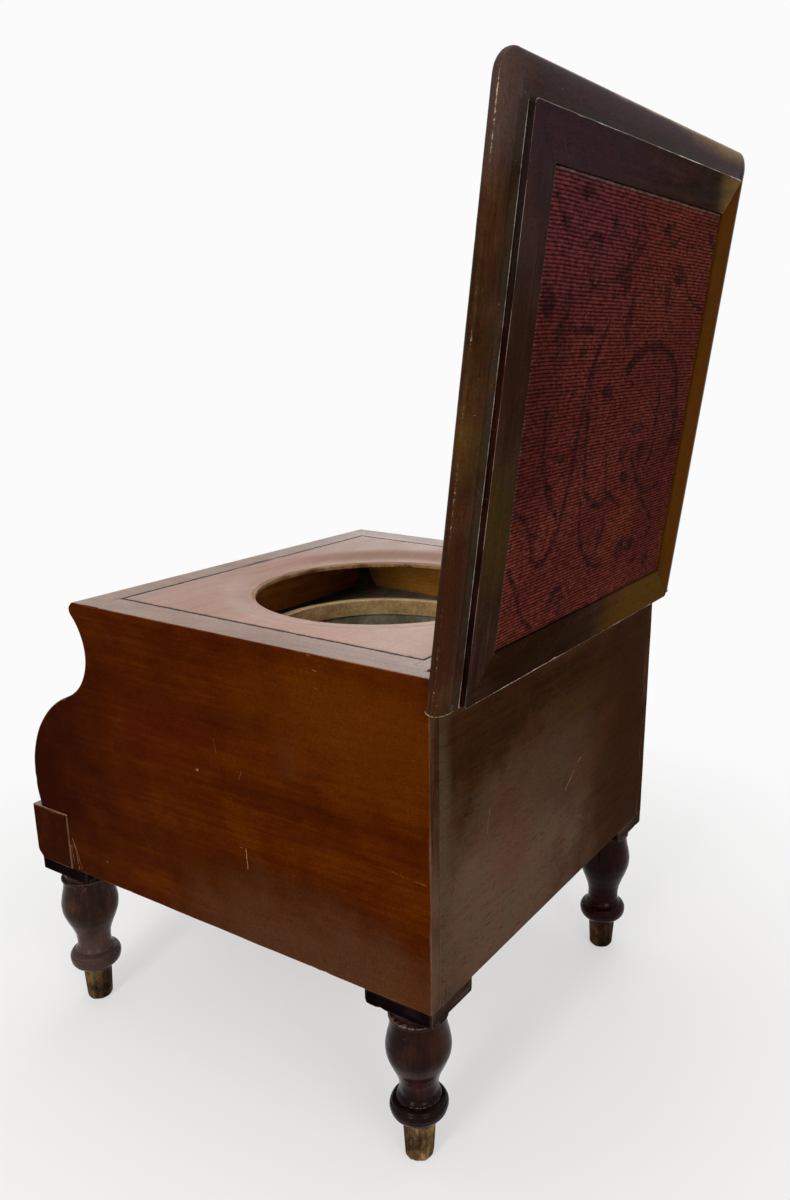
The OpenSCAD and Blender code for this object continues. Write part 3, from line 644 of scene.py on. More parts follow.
backMarks = [((x0, backFace, z0), (x1, backFace, z1), width * mm, amount)
             for x0, z0, x1, z1, width, amount in (
    (-0.0477, 0.3053, -0.0158, 0.2826, 0.85, 1.0),
    (0.1194, 0.2472, 0.1219, 0.2425, 0.9, -0.7),
    (0.1864, 0.2751, 0.1908, 0.2708, 0.9, -0.7),
    (-0.0069, 0.2734, -0.0116, 0.2486, 0.6, -0.5),
    (0.2050, 0.1976, 0.1976, 0.1942, 0.8, -0.6),
    (0.1976, 0.1942, 0.1998, 0.1760, 0.8, -0.6),
    (0.1293, 0.3241, 0.1339, 0.3016, 1.2, 0.25))]
seatMarks = [((*start, seatPlane), (*end, seatPlane), width * mm, amount) for start, end, width, amount in (
    ((0.168, -0.1150), (0.160, -0.1280), 0.5, -0.7),
    ((-0.1500, -0.1300), (-0.1600, -0.1240), 0.7, -0.6),
    ((0.0500, -0.1480), (0.0300, -0.1470), 0.6, -0.4),
    ((0.1300, -0.0600), (0.1290, -0.0620), 0.8, -0.6))]
cornerMark = ((0.1992, 0.1889, seatPlane), (0.1983, 0.1975, seatPlane), 0.5 * mm, -0.9)
seatLow, seatHigh = nodeBox("seat_board")
seatCorners = [(x, y, caseTop) for x, y in ((seatHigh[0], seatLow[1]), (seatHigh[0], seatHigh[1]),
                                            (seatLow[0], seatHigh[1]), (seatLow[0], seatLow[1]))]
# dark bands along the seat board's four edges, on the seat and on the rails beside it: painted shade of the
# gap round the board
seatGapShadeLines = [(seatCorners[i], seatCorners[i - 1], 4.2 * mm, -1.0) for i in range(4)]
# Patches on the sides: the third darkens the side towards the front, painted shade of the light falling off;
# the last, paler and greyer low down, paints the pale floor's reflection; the rest change the tone in places
sidePatchesWithShade = [
    ((0.22, 0.07, 0.37), (0.2, 0.02, 0.03), (0.055, 0.013, 0.006), 0.6),
    ((0.22, 0.14, 0.41), (0.2, 0.18, 0.09), (0.096, 0.023, 0.001), 0.6),
    ((0.22, -0.32, 0.28), (0.9, 0.22, 0.30), (0.018, 0.0015, 0.0000), 0.9),
    ((0.22, -0.02, 0.22), (0.2, 0.10, 0.05), (0.046, 0.0100, 0.0002), 0.5),
    ((0.22, -0.08, 0.36), (0.2, 0.08, 0.05), (0.060, 0.0060, 0.0010), 0.45),
    ((0.22, 0.10, 0.18), (0.2, 0.24, 0.09), (0.070, 0.0285, 0.0125), 0.8)]
# Patches on the back: the first, paler and greyer low down, paints the pale floor's reflection; the rest
# change the tone in places
backPatchesWithSheen = [((x, backFace, z), (wide, 0.1, tall), tint, amount) for x, z, wide, tall, tint, amount in (
    (0.10, 0.22, 0.26, 0.17, (0.112, 0.066, 0.044), 0.9),
    (0.02, 0.32, 0.16, 0.07, (0.074, 0.039, 0.023), 0.7),
    (0.10, 0.316, 0.045, 0.03, (0.080, 0.030, 0.016), 0.5),
    (-0.066, 0.296, 0.06, 0.05, (0.074, 0.030, 0.014), 0.5),
    (0.085, 0.262, 0.05, 0.04, (0.105, 0.042, 0.024), 0.6),
    (-0.115, 0.325, 0.05, 0.03, (0.080, 0.030, 0.012), 0.5),
    (-0.04, 0.37, 0.12, 0.03, (0.050, 0.026, 0.007), 0.4),
    (-0.19, 0.30, 0.15, 0.24, (0.031, 0.0100, 0.0026), 0.85),
    (0.205, 0.33, 0.02, 0.20, (0.078, 0.052, 0.026), 0.75))]
sideWood = woodFinish("sideMahogany", mahogany, grain="y", contrast=0.15, wear=(0.4 * mm, 0.22),
                      lines=sideMarks, flecks=[(13.0, 0.024, 0.12, 0.4), (44.0, 0.04, 0.04, 0.4)],
                      hairs=0.02, patches=sidePatchesWithShade)
otherSideWood = woodFinish(
    "otherSideMahogany", mahogany, grain="y", contrast=0.15, wear=(0.7 * mm, 0.55), shift=(0.3, 0.7, 0.1),
    flecks=[(13.0, 0.028, 0.16, 0.55), (44.0, 0.045, 0.05, 0.5)], hairs=0.15, patches=sidePatchesWithShade[2:5])
railWood = woodFinish(
    "railMahogany", mahogany, grain="x", contrast=0.13, wear=(0.4 * mm, 0.35), hairs=0.03,
    tones=((0.020, 0.0030, 0.0001), (0.026, 0.0034, 0.0001), (0.044, 0.0072, 0.0003)),
    flecks=[(17.0, 0.03, 0.08, 0.4)])
backWood = woodFinish(
    "backMahogany", darkMahogany, grain="x", contrast=0.16, pores=0.7, wear=(0.3 * mm, 0.3), hairs=0.06,
    tints=95, tones=((0.021, 0.0072, 0.0022), (0.037, 0.0140, 0.0046), (0.062, 0.0270, 0.0110)),
    lines=backMarks, flecks=[(15.0, 0.025, 0.12, 0.4), (160.0, 0.10, 0.16, 0.3)], patches=backPatchesWithSheen)
# the sides' rear edges take the back's first patch, the painted floor reflection
lipWood = woodFinish("lipMahogany", darkMahogany, grain="z", mottle=0.7, contrast=0.13, pores=0.6,
                     wear=(0.5 * mm, 0.2), patches=backPatchesWithSheen[:1], flecks=[(130.0, 0.12, 0.14, 0.45)])
lidWood = woodFinish("lidMahogany", darkMahogany, grain="lidX", contrast=0.13, pores=0.45,
                     wear=(0.6 * mm, 0.6), hairs=0.1)
# The moulding: its first two patches paint a purplish sheen along the top length and at the +x top corner,
# its last two a golden highlight and a pale glint along the top edge; its bare colour on the worn line along
# the round is a painted highlight, with real wear only at the hinge end; its first band by the frame's foot
# paints a grey sheen in the cove
mouldingWood = woodFinish(
    "mouldingMahogany", darkMahogany, along=True, mottle=0.7, wear=(0.55 * mm, 1.0), shine=0.012, bump=0.1,
    gloss=(0.05, 0.14), flecks=[(90.0, 0.06, 0.2, 0.45), (240.0, 0.14, 0.12, 0.4)], hairs=0.05, tints=80,
    tones=((0.020, 0.0075, 0.0028), (0.041, 0.0170, 0.0062), (0.085, 0.0380, 0.0140)),
    bare=(0.42, 0.32, 0.22), dust=[((0.030, 0.0260, 0.0200), 0.20, 0.65, 0.75),
                                   ((0.42, 0.36, 0.31), 0.957, 0.972, 0.85)], patches=[
        ((0.0, 0.27, 0.88), (0.50, 0.2, 0.065), (0.041, 0.023, 0.027), 0.9),
        ((0.23, 0.27, 0.85), (0.04, 0.2, 0.07), (0.058, 0.034, 0.029), 0.9),
        ((0.23, 0.24, 0.64), (0.05, 0.2, 0.035), (0.055, 0.028, 0.006), 0.6),
        ((0.23, 0.23, 0.53), (0.06, 0.2, 0.11), (0.029, 0.0090, 0.0040), 0.85),
        ((-0.20, 0.27, 0.878), (0.20, 0.2, 0.018), (0.230, 0.130, 0.035), 0.8),
        ((-0.02, 0.27, 0.8795), (0.19, 0.2, 0.0075), (0.480, 0.340, 0.200), 1.0)])
frameBase = dict(darkMahogany, contrast=0.09, hairs=0.03, shine=0.0006, bare=(0.44, 0.34, 0.29),
                 tones=((0.016, 0.0080, 0.0055), (0.026, 0.0122, 0.0078), (0.044, 0.0220, 0.0145)))
# the purplish top part of the frame: painted sheen
frameTopSheen = ((0.16, 0.27, 0.86), (0.30, 0.2, 0.16), (0.030, 0.0160, 0.0200), 0.85)
# the third and fourth patches, olive-yellow low on the -x side and golden at the -x top corner, paint a warm
# reflection
frameAcross = woodFinish(
    "frameAcrossMahogany", frameBase, grain="lidX", wear=(0.35 * mm, 1.0), bare=(0.62, 0.52, 0.47), tints=60,
    patches=[frameTopSheen, ((0.10, 0.22, 0.47), (0.20, 0.2, 0.09), (0.015, 0.0055, 0.0016), 0.9),
             ((-0.15, 0.22, 0.45), (0.15, 0.2, 0.12), (0.080, 0.036, 0.003), 0.85),
             ((-0.19, 0.27, 0.84), (0.05, 0.2, 0.06), (0.180, 0.100, 0.035), 0.8)])
# the last patch, olive-yellow down the -x length, paints a warm reflection
frameAlong = woodFinish(
    "frameAlongMahogany", frameBase, grain="lidReach", wear=(0.2 * mm, 0.4), tints=60,
    patches=[frameTopSheen, ((0.19, 0.24, 0.69), (0.06, 0.2, 0.07), (0.022, 0.0085, 0.0030), 0.8),
             ((0.19, 0.24, 0.58), (0.06, 0.2, 0.08), (0.040, 0.0230, 0.0050), 0.8),
             ((-0.19, 0.25, 0.60), (0.07, 0.3, 0.55), (0.082, 0.026, 0.0003), 0.95)])
# a far darker copy of the frame's finish for the outer side faces of the side lengths: painted shade
frameSideShade = woodFinish(
    "frameSideMahogany", frameBase, grain="lidReach", mottle=0.7,
    tones=((0.0040, 0.0013, 0.0008), (0.0085, 0.0024, 0.0015), (0.0200, 0.0055, 0.0032)),
    patches=[((0.20, 0.24, 0.66), (0.05, 0.2, 0.06), (0.020, 0.0050, 0.0020), 0.6),
             ((0.20, 0.26, 0.81), (0.05, 0.2, 0.12), (0.0150, 0.0100, 0.0090), 0.9)])
# the first patch, lighter towards the back and the +x side, is painted sheen
seatWood = woodFinish(
    "seatWood", tones=((0.250, 0.118, 0.078), (0.325, 0.162, 0.110), (0.395, 0.210, 0.148)), grain="x",
    mottle=0.3, bare=(0.20, 0.105, 0.040), contrast=0.15, pores=0.25, gloss=(0.30, 0.42), shine=0.22,
    wear=(2.6 * mm, 0.9), speckle=0.25, hairs=0.15, bump=0.12, flecks=[(14.0, 0.02, 0.10, 0.4)],
    lines=seatMarks + seatGapShadeLines, patches=[
        ((0.10, 0.10, seatPlane), (0.30, 0.24, 0.1), (0.46, 0.25, 0.175), 0.7),
             ((-0.13, -0.10, 0.463), (0.075, 0.13, 0.1), (0.27, 0.135, 0.085), 0.5)])
holeWood = woodFinish(
    "seatHoleWood", tones=((0.070, 0.030, 0.010), (0.200, 0.098, 0.034), (0.360, 0.200, 0.090)), grain="x",
    bare=(0.50, 0.32, 0.17), mottle=1.4, contrast=0.12, pores=0.8, gloss=(0.30, 0.50), shine=0.15,
    wear=(1.2 * mm, 0.6), flecks=[(180.0, 0.16, 0.3, 0.5)])
# near-black finish for the faces down in the gaps round the seat board: painted shade
gapPaintedShade = woodFinish("gapShade", tones=((0.003, 0.0018, 0.0012), (0.007, 0.004, 0.0025),
                                        (0.014, 0.008, 0.005)),
                     grain="x", mottle=0.6, pores=0.4, shine=0.0, bump=0.2)
# pale tones for the tops: the sides' top edges, the rails with the front rail's nose, and the plinth's top;
# far lighter than the same mahogany's other faces, they are painted sheen of the light from above
topSheenWood = woodFinish(
    "topSheenMahogany", tones=((0.190, 0.108, 0.078), (0.250, 0.148, 0.108), (0.315, 0.195, 0.145)), grain="y",
    bare=(0.36, 0.23, 0.15), pores=0.4, gloss=(0.30, 0.42), shine=0.22, wear=(0.4 * mm, 0.3), hairs=0.12,
    bump=0.12, lines=seatGapShadeLines + [cornerMark])
legBase = dict(tones=((0.0050, 0.0020, 0.0014), (0.0130, 0.0046, 0.0030), (0.0380, 0.0120, 0.0060)),
               bare=(0.24, 0.16, 0.13), grain="z", mottle=0.8, gloss=(0.10, 0.24), shine=0.07,
               shineTint=(1.0, 0.85, 0.75), wear=(0.7 * mm, 0.6), hairs=0.1, hairScale=30.0,
               flecks=[(90.0, 0.09, 0.12, 0.3), (260.0, 0.18, 0.14, 0.35)])
pegBase = dict(tones=((0.008, 0.004, 0.002), (0.040, 0.020, 0.010), (0.120, 0.068, 0.032)),
               bare=(0.36, 0.28, 0.18), grain="z", mottle=1.8, contrast=0.16, pores=0.8, gloss=(0.55, 0.85),
               shine=0.03, bump=0.6, flecks=[(170.0, 0.16, 0.3, 0.5)])


def legTones(name, *tones, patches=()):
    # the finishes of one leg and its peg, their colours scaled by three factors each
    finishes = []
    for suffix, base, factors in zip(("Mahogany", "PegWood"), (legBase, pegBase), tones):
        scaled = [tuple(np.multiply(colour, factors)) for colour in base["tones"]]
        finishes.append(woodFinish(name + suffix, base, tones=scaled,
                                   patches=patches if base is legBase else ()))
    return finishes


def legSpot(node, dy, z, size, colour, amount):
    # a patch on a leg, its centre given from the leg's axis
    low, high = nodeBox(node)
    return ((low[0] + high[0]) / 2, (low[1] + high[1]) / 2 + dy, z), size, colour, amount


# Each leg's finishes and how far its ring sits above the others' line; all four were turned by hand.
# The factors set each leg's tones apart from the others' to the light and shade on each: painted light and
# shade
legLooks = dict(
    rear_right=(legTones("nearLeg", (0.75, 0.65, 0.95), (3.0, 3.3, 3.0), patches=[
        legSpot("leg_rear_right", 0.029, 0.132, (0.03, 0.03, 0.02), (0.040, 0.0110, 0.0040), 0.6),
        legSpot("leg_rear_right", 0.0, 0.064, (0.06, 0.06, 0.022), (0.0035, 0.0008, 0.0006), 0.9)]), 3 * mm),
    rear_left=(legTones("farLeg", (1.1, 0.40, 0.50), (0.85, 0.75, 0.75)), -3 * mm),
    front_right=(legTones("frontLeg", (1.5, 1.9, 2.2), (1.25, 1.3, 1.35), patches=[
        legSpot("leg_front_right", 0.0, 0.064, (0.06, 0.06, 0.044), (0.070, 0.040, 0.036), 0.9)]), 0),
    front_left=(legTones("hiddenLeg", (1.2, 1.1, 1.0), (1.2, 1.2, 1.2)), 0))
blockBase = dict(contrast=0.12, pores=0.9, gloss=(0.45, 0.75), shine=0.003, bump=0.5)
blockWood = woodFinish(
    "blockWood", blockBase, tones=((0.002, 0.0009, 0.0009), (0.005, 0.0023, 0.0024), (0.014, 0.0065, 0.0065)),
    bare=(0.14, 0.08, 0.05), grain="y", mottle=0.9, wear=(0.4 * mm, 0.15), hairs=0.05)
blockRear = woodFinish(
    "blockRearWood", blockBase, tones=((0.016, 0.009, 0.006), (0.038, 0.021, 0.015), (0.080, 0.050, 0.038)),
    bare=(0.28, 0.20, 0.13), grain="x", mottle=1.0, wear=(0.4 * mm, 0.2), flecks=[(140.0, 0.12, 0.16, 0.4)])
innerWood = woodFinish("innerWood", tones=((0.075, 0.040, 0.018), (0.140, 0.080, 0.036),
                                           (0.220, 0.130, 0.062)),
                       grain="x", mottle=0.6, pores=0.7, gloss=(0.55, 0.85), shine=0.3, bump=0.4)
# the shelf's tones are raised far above the wood's own colour to make up for the little light inside the
# case: painted light; its patch by the front wall is painted shade
shelfWood = woodFinish(
    "shelfWood", tones=((0.170, 0.150, 0.100), (0.270, 0.245, 0.170), (0.370, 0.340, 0.240)), grain="x",
    mottle=0.9, pores=0.6, shine=0.02, bump=0.3,
    patches=[((0.0, -0.165, shelfPlane), (0.30, 0.035, 0.1), (0.030, 0.018, 0.014), 0.85)])
# the inner faces of the sides and the front take tones far lighter than the same mahogany outside, to make up
# for the little light inside the case: painted light
innerMahogany = woodFinish("innerMahogany", pale, grain="y", tones=(
    (0.360, 0.140, 0.014), (0.540, 0.220, 0.024), (0.680, 0.310, 0.040)))
innerFront = woodFinish("innerFrontWood", pale, grain="x", tones=(
    (0.260, 0.070, 0.008), (0.450, 0.135, 0.018), (0.620, 0.225, 0.036)))
hoopWood = woodFinish(
    "hoopWood", tones=((0.34, 0.200, 0.075), (0.56, 0.350, 0.150), (0.70, 0.510, 0.280)),
    bare=(0.72, 0.60, 0.40), grain="x", mottle=0.7, pores=0.7, shine=0.3, bump=0.4, wear=(1.0 * mm, 0.5),
    lines=[((-0.0769, 0.0111, hoopPlane), (-0.1032, -0.0026, hoopPlane), 0.8 * mm, -0.8)])
print("wood finishes ready")


def metalFinish(name, tarnish, base, bright, gloss):
    # aged metal: tarnish in clouds over a brighter base, with pits
    material, tree, shader = newMaterial(name)
    place = objectPlace(tree)
    clouds = noise(tree, place, 160, 5, 0.65)
    pits = useGroup(tree, fleckGroup, Vector=place, Scale=900.0, Size=0.3, Share=0.25)["Mask"]
    colour = ramp(tree, clouds, [(0.38, tarnish), (0.50, base), (0.66, bright)])
    finishShader(tree, shader, calc(tree, "MULTIPLY_ADD", pits, -1.0, clouds), 0.3, 0.1 * mm, Metallic=1.0,
                 Base_Color=colourMix(tree, pits, colour, dimmed(tarnish, 0.4)),
                 Roughness=remap(tree, clouds, 0.35, 0.65, gloss[1], gloss[0]))
    return material


brass = metalFinish("agedBrass", (0.10, 0.062, 0.022), (0.34, 0.225, 0.085), (0.62, 0.44, 0.18), (0.28, 0.6))
iron = metalFinish("darkIron", (0.030, 0.022, 0.018), (0.09, 0.078, 0.07), (0.22, 0.20, 0.19), (0.35, 0.7))


def carpetFinish():
    # ribbed wool: ground and dark figure from the woven attributes, loops as fine bumps, faded patches,
    # and painted shade in the valleys between the ribs and the loops
    material, tree, shader = newMaterial("carpetWool")
    place, yarn = objectPlace(tree), attribute(tree, "yarn")
    ground = ramp(tree, noise(tree, place, 9, 4, 0.6), [
        (0.36, (0.072, 0.0125, 0.0100)), (0.50, (0.084, 0.0150, 0.0106)), (0.66, (0.100, 0.0195, 0.0115))])
    ground = paint(tree, ground, remap(tree, yarn, 0.2, 1.0), 0.6, (0.165, 0.042, 0.028))
    for centre, size, tint, amount in (((0.12, 0.27, 0.80), (0.17, 0.2, 0.14), (0.082, 0.018, 0.024), 0.7),
                                       ((0.00, 0.25, 0.68), (0.17, 0.2, 0.13), (0.058, 0.0100, 0.0078), 0.25),
                                       ((0.15, 0.25, 0.66), (0.07, 0.2, 0.12), (0.048, 0.0085, 0.0065), 0.8),
                                       ((-0.12, 0.25, 0.60), (0.10, 0.2, 0.20), (0.056, 0.0090, 0.0068), 0.6),
                                       ((-0.04, 0.24, 0.545), (0.045, 0.2, 0.045),
                                        (0.120, 0.026, 0.008), 0.45)):
        ground = paint(tree, ground, patchMask(tree, place, centre, size), amount, tint)
    figure = colourMix(tree, yarn, (0.012, 0.0036, 0.0042), (0.028, 0.0075, 0.0080))
    colour = paint(tree, ground, attribute(tree, "figure"), 0.92, figure)
    frayed = remap(tree, noise(tree, place, 300, 3, 0.7), 0.3, 0.6)
    hem = calc(tree, "MULTIPLY", attribute(tree, "hem"), frayed)
    colour = paint(tree, colour, hem, 0.9, (0.105, 0.066, 0.056))
    loops = stretchedNoise(tree, place, (520, 900, 900), 2, 0.6)
    # the colour is darkened in the valleys between ribs and between loops, by the crest and turn attributes:
    # painted shade
    turn = calc(tree, "ABSOLUTE", calc(tree, "SUBTRACT", calc(tree, "FRACT", attribute(tree, "turn")), 0.5))
    between = remap(tree, turn, 0.34, 0.49, 1.0, 0.7)
    uneven = stretchedNoise(tree, place, (170, 340, 340), 2, 0.6)
    broken = calc(tree, "ADD", attribute(tree, "crest"), remap(tree, uneven, 0.30, 0.70, -0.10, 0.12))
    depth = calc(tree, "MULTIPLY", remap(tree, broken, 0.08, 0.80), between)
    shaded = calc(tree, "MULTIPLY", calc(tree, "MULTIPLY_ADD", depth, 0.90, 0.22),
                  remap(tree, loops, 0.30, 0.66, 0.80, 1.20))
    shaded = calc(tree, "MULTIPLY", shaded, remap(tree, uneven, 0.32, 0.68, 0.66, 1.34))
    fuzz = calc(tree, "MULTIPLY_ADD", noise(tree, place, 1500, 2), 0.5, loops)
    finishShader(tree, shader, fuzz, 0.8, 0.5 * mm, Base_Color=times(tree, colour, shaded), Roughness=0.92,
                 Specular_IOR_Level=0.02)
    return material


wool = carpetFinish()

# The case's front in the y, z plane: a small nose, a hollow and a bulge, each touching the next
front = dict(hollowDepth=0.3942, hollowDrop=0.0497, hollowRadius=0.053, bulgeDepth=0.4945, bulgeRadius=0.1085,
             noseRadius=0.008, wall=0.009, strip=0.026, rail=0.040)
noseZ, hollowZ = caseTop - front["noseRadius"], caseTop - front["hollowDrop"]
hollowY = backFace - front["hollowDepth"] - front["hollowRadius"]
bulgeY = backFace - front["bulgeDepth"] + front["bulgeRadius"]
bulgeZ = hollowZ - math.sqrt((front["hollowRadius"] + front["bulgeRadius"]) ** 2 - (bulgeY - hollowY) ** 2)
noseY = hollowY + math.sqrt((front["hollowRadius"] + front["noseRadius"]) ** 2 - (noseZ - hollowZ) ** 2)
noseEnd = 360 + math.degrees(math.atan2(hollowZ - noseZ, hollowY - noseY))
hollowEnd = math.degrees(math.atan2(bulgeZ - hollowZ, bulgeY - hollowY))
plinthLow, plinthHigh = nodeBox("plinth")
plinthTop, plinthBack, plinthFront, caseUnder = plinthHigh[2], plinthHigh[1], plinthLow[1], plinthLow[2]
seatFront = noseY + front["strip"]


def bulgeArc(wall, steps):
    radius = front["bulgeRadius"] - wall
    end = 180 + math.degrees(math.asin((bulgeZ - plinthTop) / radius))
    return arcPoints(bulgeY, bulgeZ, radius, hollowEnd + 180, end, steps)


def hollowArc(wall, top, steps):
    radius = front["hollowRadius"] + wall
    return arcPoints(hollowY, hollowZ, radius, math.degrees(math.asin((top - hollowZ) / radius)), hollowEnd,
                     steps)


noseArc = arcPoints(noseY, noseZ, front["noseRadius"], 90, noseEnd, 12)
fullHollow = arcPoints(hollowY, hollowZ, front["hollowRadius"], noseEnd - 180, hollowEnd, 26)
backLow, backHigh = nodeBox("back_panel")
sideOutline = np.concatenate([[[backFace, caseUnder], [backFace, caseTop]], noseArc, fullHollow[1:],
                              bulgeArc(0, 26)[1:], [[plinthBack, plinthTop], [plinthBack, caseUnder]]])
notch = len(sideOutline) - 3


def sideFaces(c):
    # which finish a face of a side takes: 1 on the top edge, paler as painted sheen, 2 inside the case,
    # lightened as painted light, 3 on the rear edge
    top = c[:, 2] > caseTop - 0.25 * mm
    inside = np.abs(c[:, 0]) < innerHalf + 0.2 * mm
    rear = c[:, 1] > backFace - mm / 4
    return np.select([top, inside, rear], [1, 2, 3], 0)


def facing(axis, at, above=0.0):
    # of the faces that lie in the plane where axis is at: 1 from a height upwards, 2 below it
    return lambda c: (np.abs(c[:, axis] - at) < 0.22 * mm) * np.where(c[:, 2] > above, 1, 2)


def frontFaces(c):
    # 1 on the inner face of the bent front panel, which takes the lightened inside finish: painted light
    fromBulge = np.hypot(c[:, 1] - bulgeY, c[:, 2] - bulgeZ)
    fromHollow = np.hypot(c[:, 1] - hollowY, c[:, 2] - hollowZ)
    half = front["wall"] / 2
    upper = c[:, 2] > hollowZ + front["hollowRadius"] * math.sin(math.radians(hollowEnd))
    return np.where(upper, fromHollow > front["hollowRadius"] + half, fromBulge < front["bulgeRadius"] - half)


for name, near, far, radii, wood in (("right", innerHalf, halfWidth, (0.15 * mm, 0.9 * mm), sideWood),
                                     ("left", -halfWidth, -innerHalf, (0.9 * mm, 0.15 * mm), otherSideWood)):
    made = makeBoard(name + "SidePanel", sideOutline, near, far, standing("yzx"),
                     [wood, topSheenWood, innerMahogany, lipWood], arris=radii, corner=0.7 * mm,
                     tight=(notch, notch + 1), seed=11 if near > 0 else 17, dents=26, second=sideFaces,
                     replaces=["side_" + name], slot="mahogany")
    rebate = sorted([math.copysign(innerHalf - mm, near), math.copysign(backHigh[0], near)])
    cutAway(made, [boxCutter([rebate[0], backLow[1], caseUnder - mm],
                             [rebate[1], backFace + mm, caseTop + mm])])


def rectangle(low, high):
    return [[low[0], low[1]], [high[0], low[1]], [high[0], high[1]], [low[0], high[1]]]


# Leaf recesses in the back panel and the rail behind the seat, as deep as a leaf is thick
leafLow = nodeBox("hinge_leaf_right")[0]
leafSpans = sorted([tuple(nodeBox("hinge_leaf_" + side)[i][0] for i in (0, 1)) for side in ("left", "right")])
leafThick = 1.8 * mm


def leafRecesses():
    return [boxCutter([start, leafLow[1], caseTop - leafThick], [end, backFace + mm, caseTop + mm])
            for start, end in leafSpans]


cutAway(makeBoard("backPanel", rectangle(backLow[::2], backHigh[::2]), backLow[1], backHigh[1],
                  standing("xzy"), backWood, arris=(0.15 * mm, 0.35 * mm), corner=0.15 * mm, seed=23, dents=9,
                  replaces=["back_panel"], slot="dark_mahogany"), leafRecesses())

frontPanelOutline = np.concatenate([hollowArc(0, caseTop - front["rail"], 20), bulgeArc(0, 24)[1:],
                                    bulgeArc(front["wall"], 24)[::-1],
                                    hollowArc(front["wall"], caseTop - front["rail"], 20)[:-1][::-1]])
makeBoard("frontPanel", frontPanelOutline, -innerHalf, innerHalf, standing("yzx"), [railWood, innerFront],
          second=frontFaces, arris=(0.12 * mm, 0.12 * mm), corner=0.12 * mm, border=2 * mm, seed=31,
          replaces=["front_panel"], slot="mahogany")
railFoot = math.degrees(math.asin((caseTop - front["rail"] - hollowZ) / front["hollowRadius"]))
railHollow = arcPoints(hollowY, hollowZ, front["hollowRadius"], noseEnd - 180, railFoot, 14)
topRailOutline = np.concatenate([[[seatFront, caseTop - front["rail"]], [seatFront, caseTop]], noseArc,
                                 railHollow[1:]])
# the rail's face towards the seat takes painted gap shade in its top 9 mm and the lightened inside finish,
# painted light, below
makeBoard("frontTopRail", topRailOutline, -innerHalf, innerHalf, standing("yzx"),
          [topSheenWood, gapPaintedShade, innerFront], second=facing(1, seatFront, caseTop - 9 * mm),
          arris=(0.12 * mm, 0.12 * mm), corner=0.5 * mm, border=4 * mm, seed=37,
          replaces=["front_top_rail"], slot="mahogany")
plinthRound = 12 * mm
plinthOutline = np.concatenate([[[plinthBack, caseUnder], [plinthBack, plinthTop], [plinthFront, plinthTop]],
                                arcPoints(plinthFront + plinthRound, caseUnder + plinthRound, plinthRound,
                                          180, 270, 10)])
# the plinth's top face takes the paler finish, painted sheen
makeBoard("plinthRail", plinthOutline, plinthLow[0], plinthHigh[0], standing("yzx"), [railWood, topSheenWood],
          second=lambda c: c[:, 2] > plinthTop - mm / 4,
          arris=(1.0 * mm, 1.0 * mm), corner=0.9 * mm, seed=41, dents=7, replaces=["plinth"], slot="mahogany")
for side in ("left", "right"):
    low, high = nodeBox("side_rail_" + side)
    # the inner face takes painted gap shade in its top 9 mm and the lightened inside finish, painted light,
    # below
    makeBoard(side + "SeatRail", rectangle(low[:2], high[:2]), low[2], high[2], standing("xyz"),
              [topSheenWood, gapPaintedShade, innerMahogany], arris=(0.2 * mm, 0.25 * mm), corner=0.12 * mm, border=3 * mm,
              second=facing(0, low[0] if side == "right" else high[0], caseTop - 9 * mm), seed=43,
              replaces=["side_rail_" + side], slot="mahogany")
low, high = nodeBox("hinge_rail")
# the face towards the seat takes painted gap shade in its top 9 mm and the lightened inside finish, painted
# light, below
cutAway(makeBoard("hingeRail", rectangle(low[:2], high[:2]), low[2], high[2], standing("xyz"),
                  [topSheenWood, gapPaintedShade, innerMahogany], second=facing(1, low[1], caseTop - 9 * mm), seed=47,
                  arris=(0.2 * mm, 0.25 * mm), corner=0.12 * mm, border=3 * mm, replaces=["hinge_rail"],
                  slot="mahogany"), leafRecesses())
print("case boards made")

# The seat board: circles about the hole out to the dish's rim, then rings that turn into the board's edge
seat = dict(hole=0.1265, dish=0.040, drop=7 * mm, lip=2.5 * mm, arris=0.9 * mm)


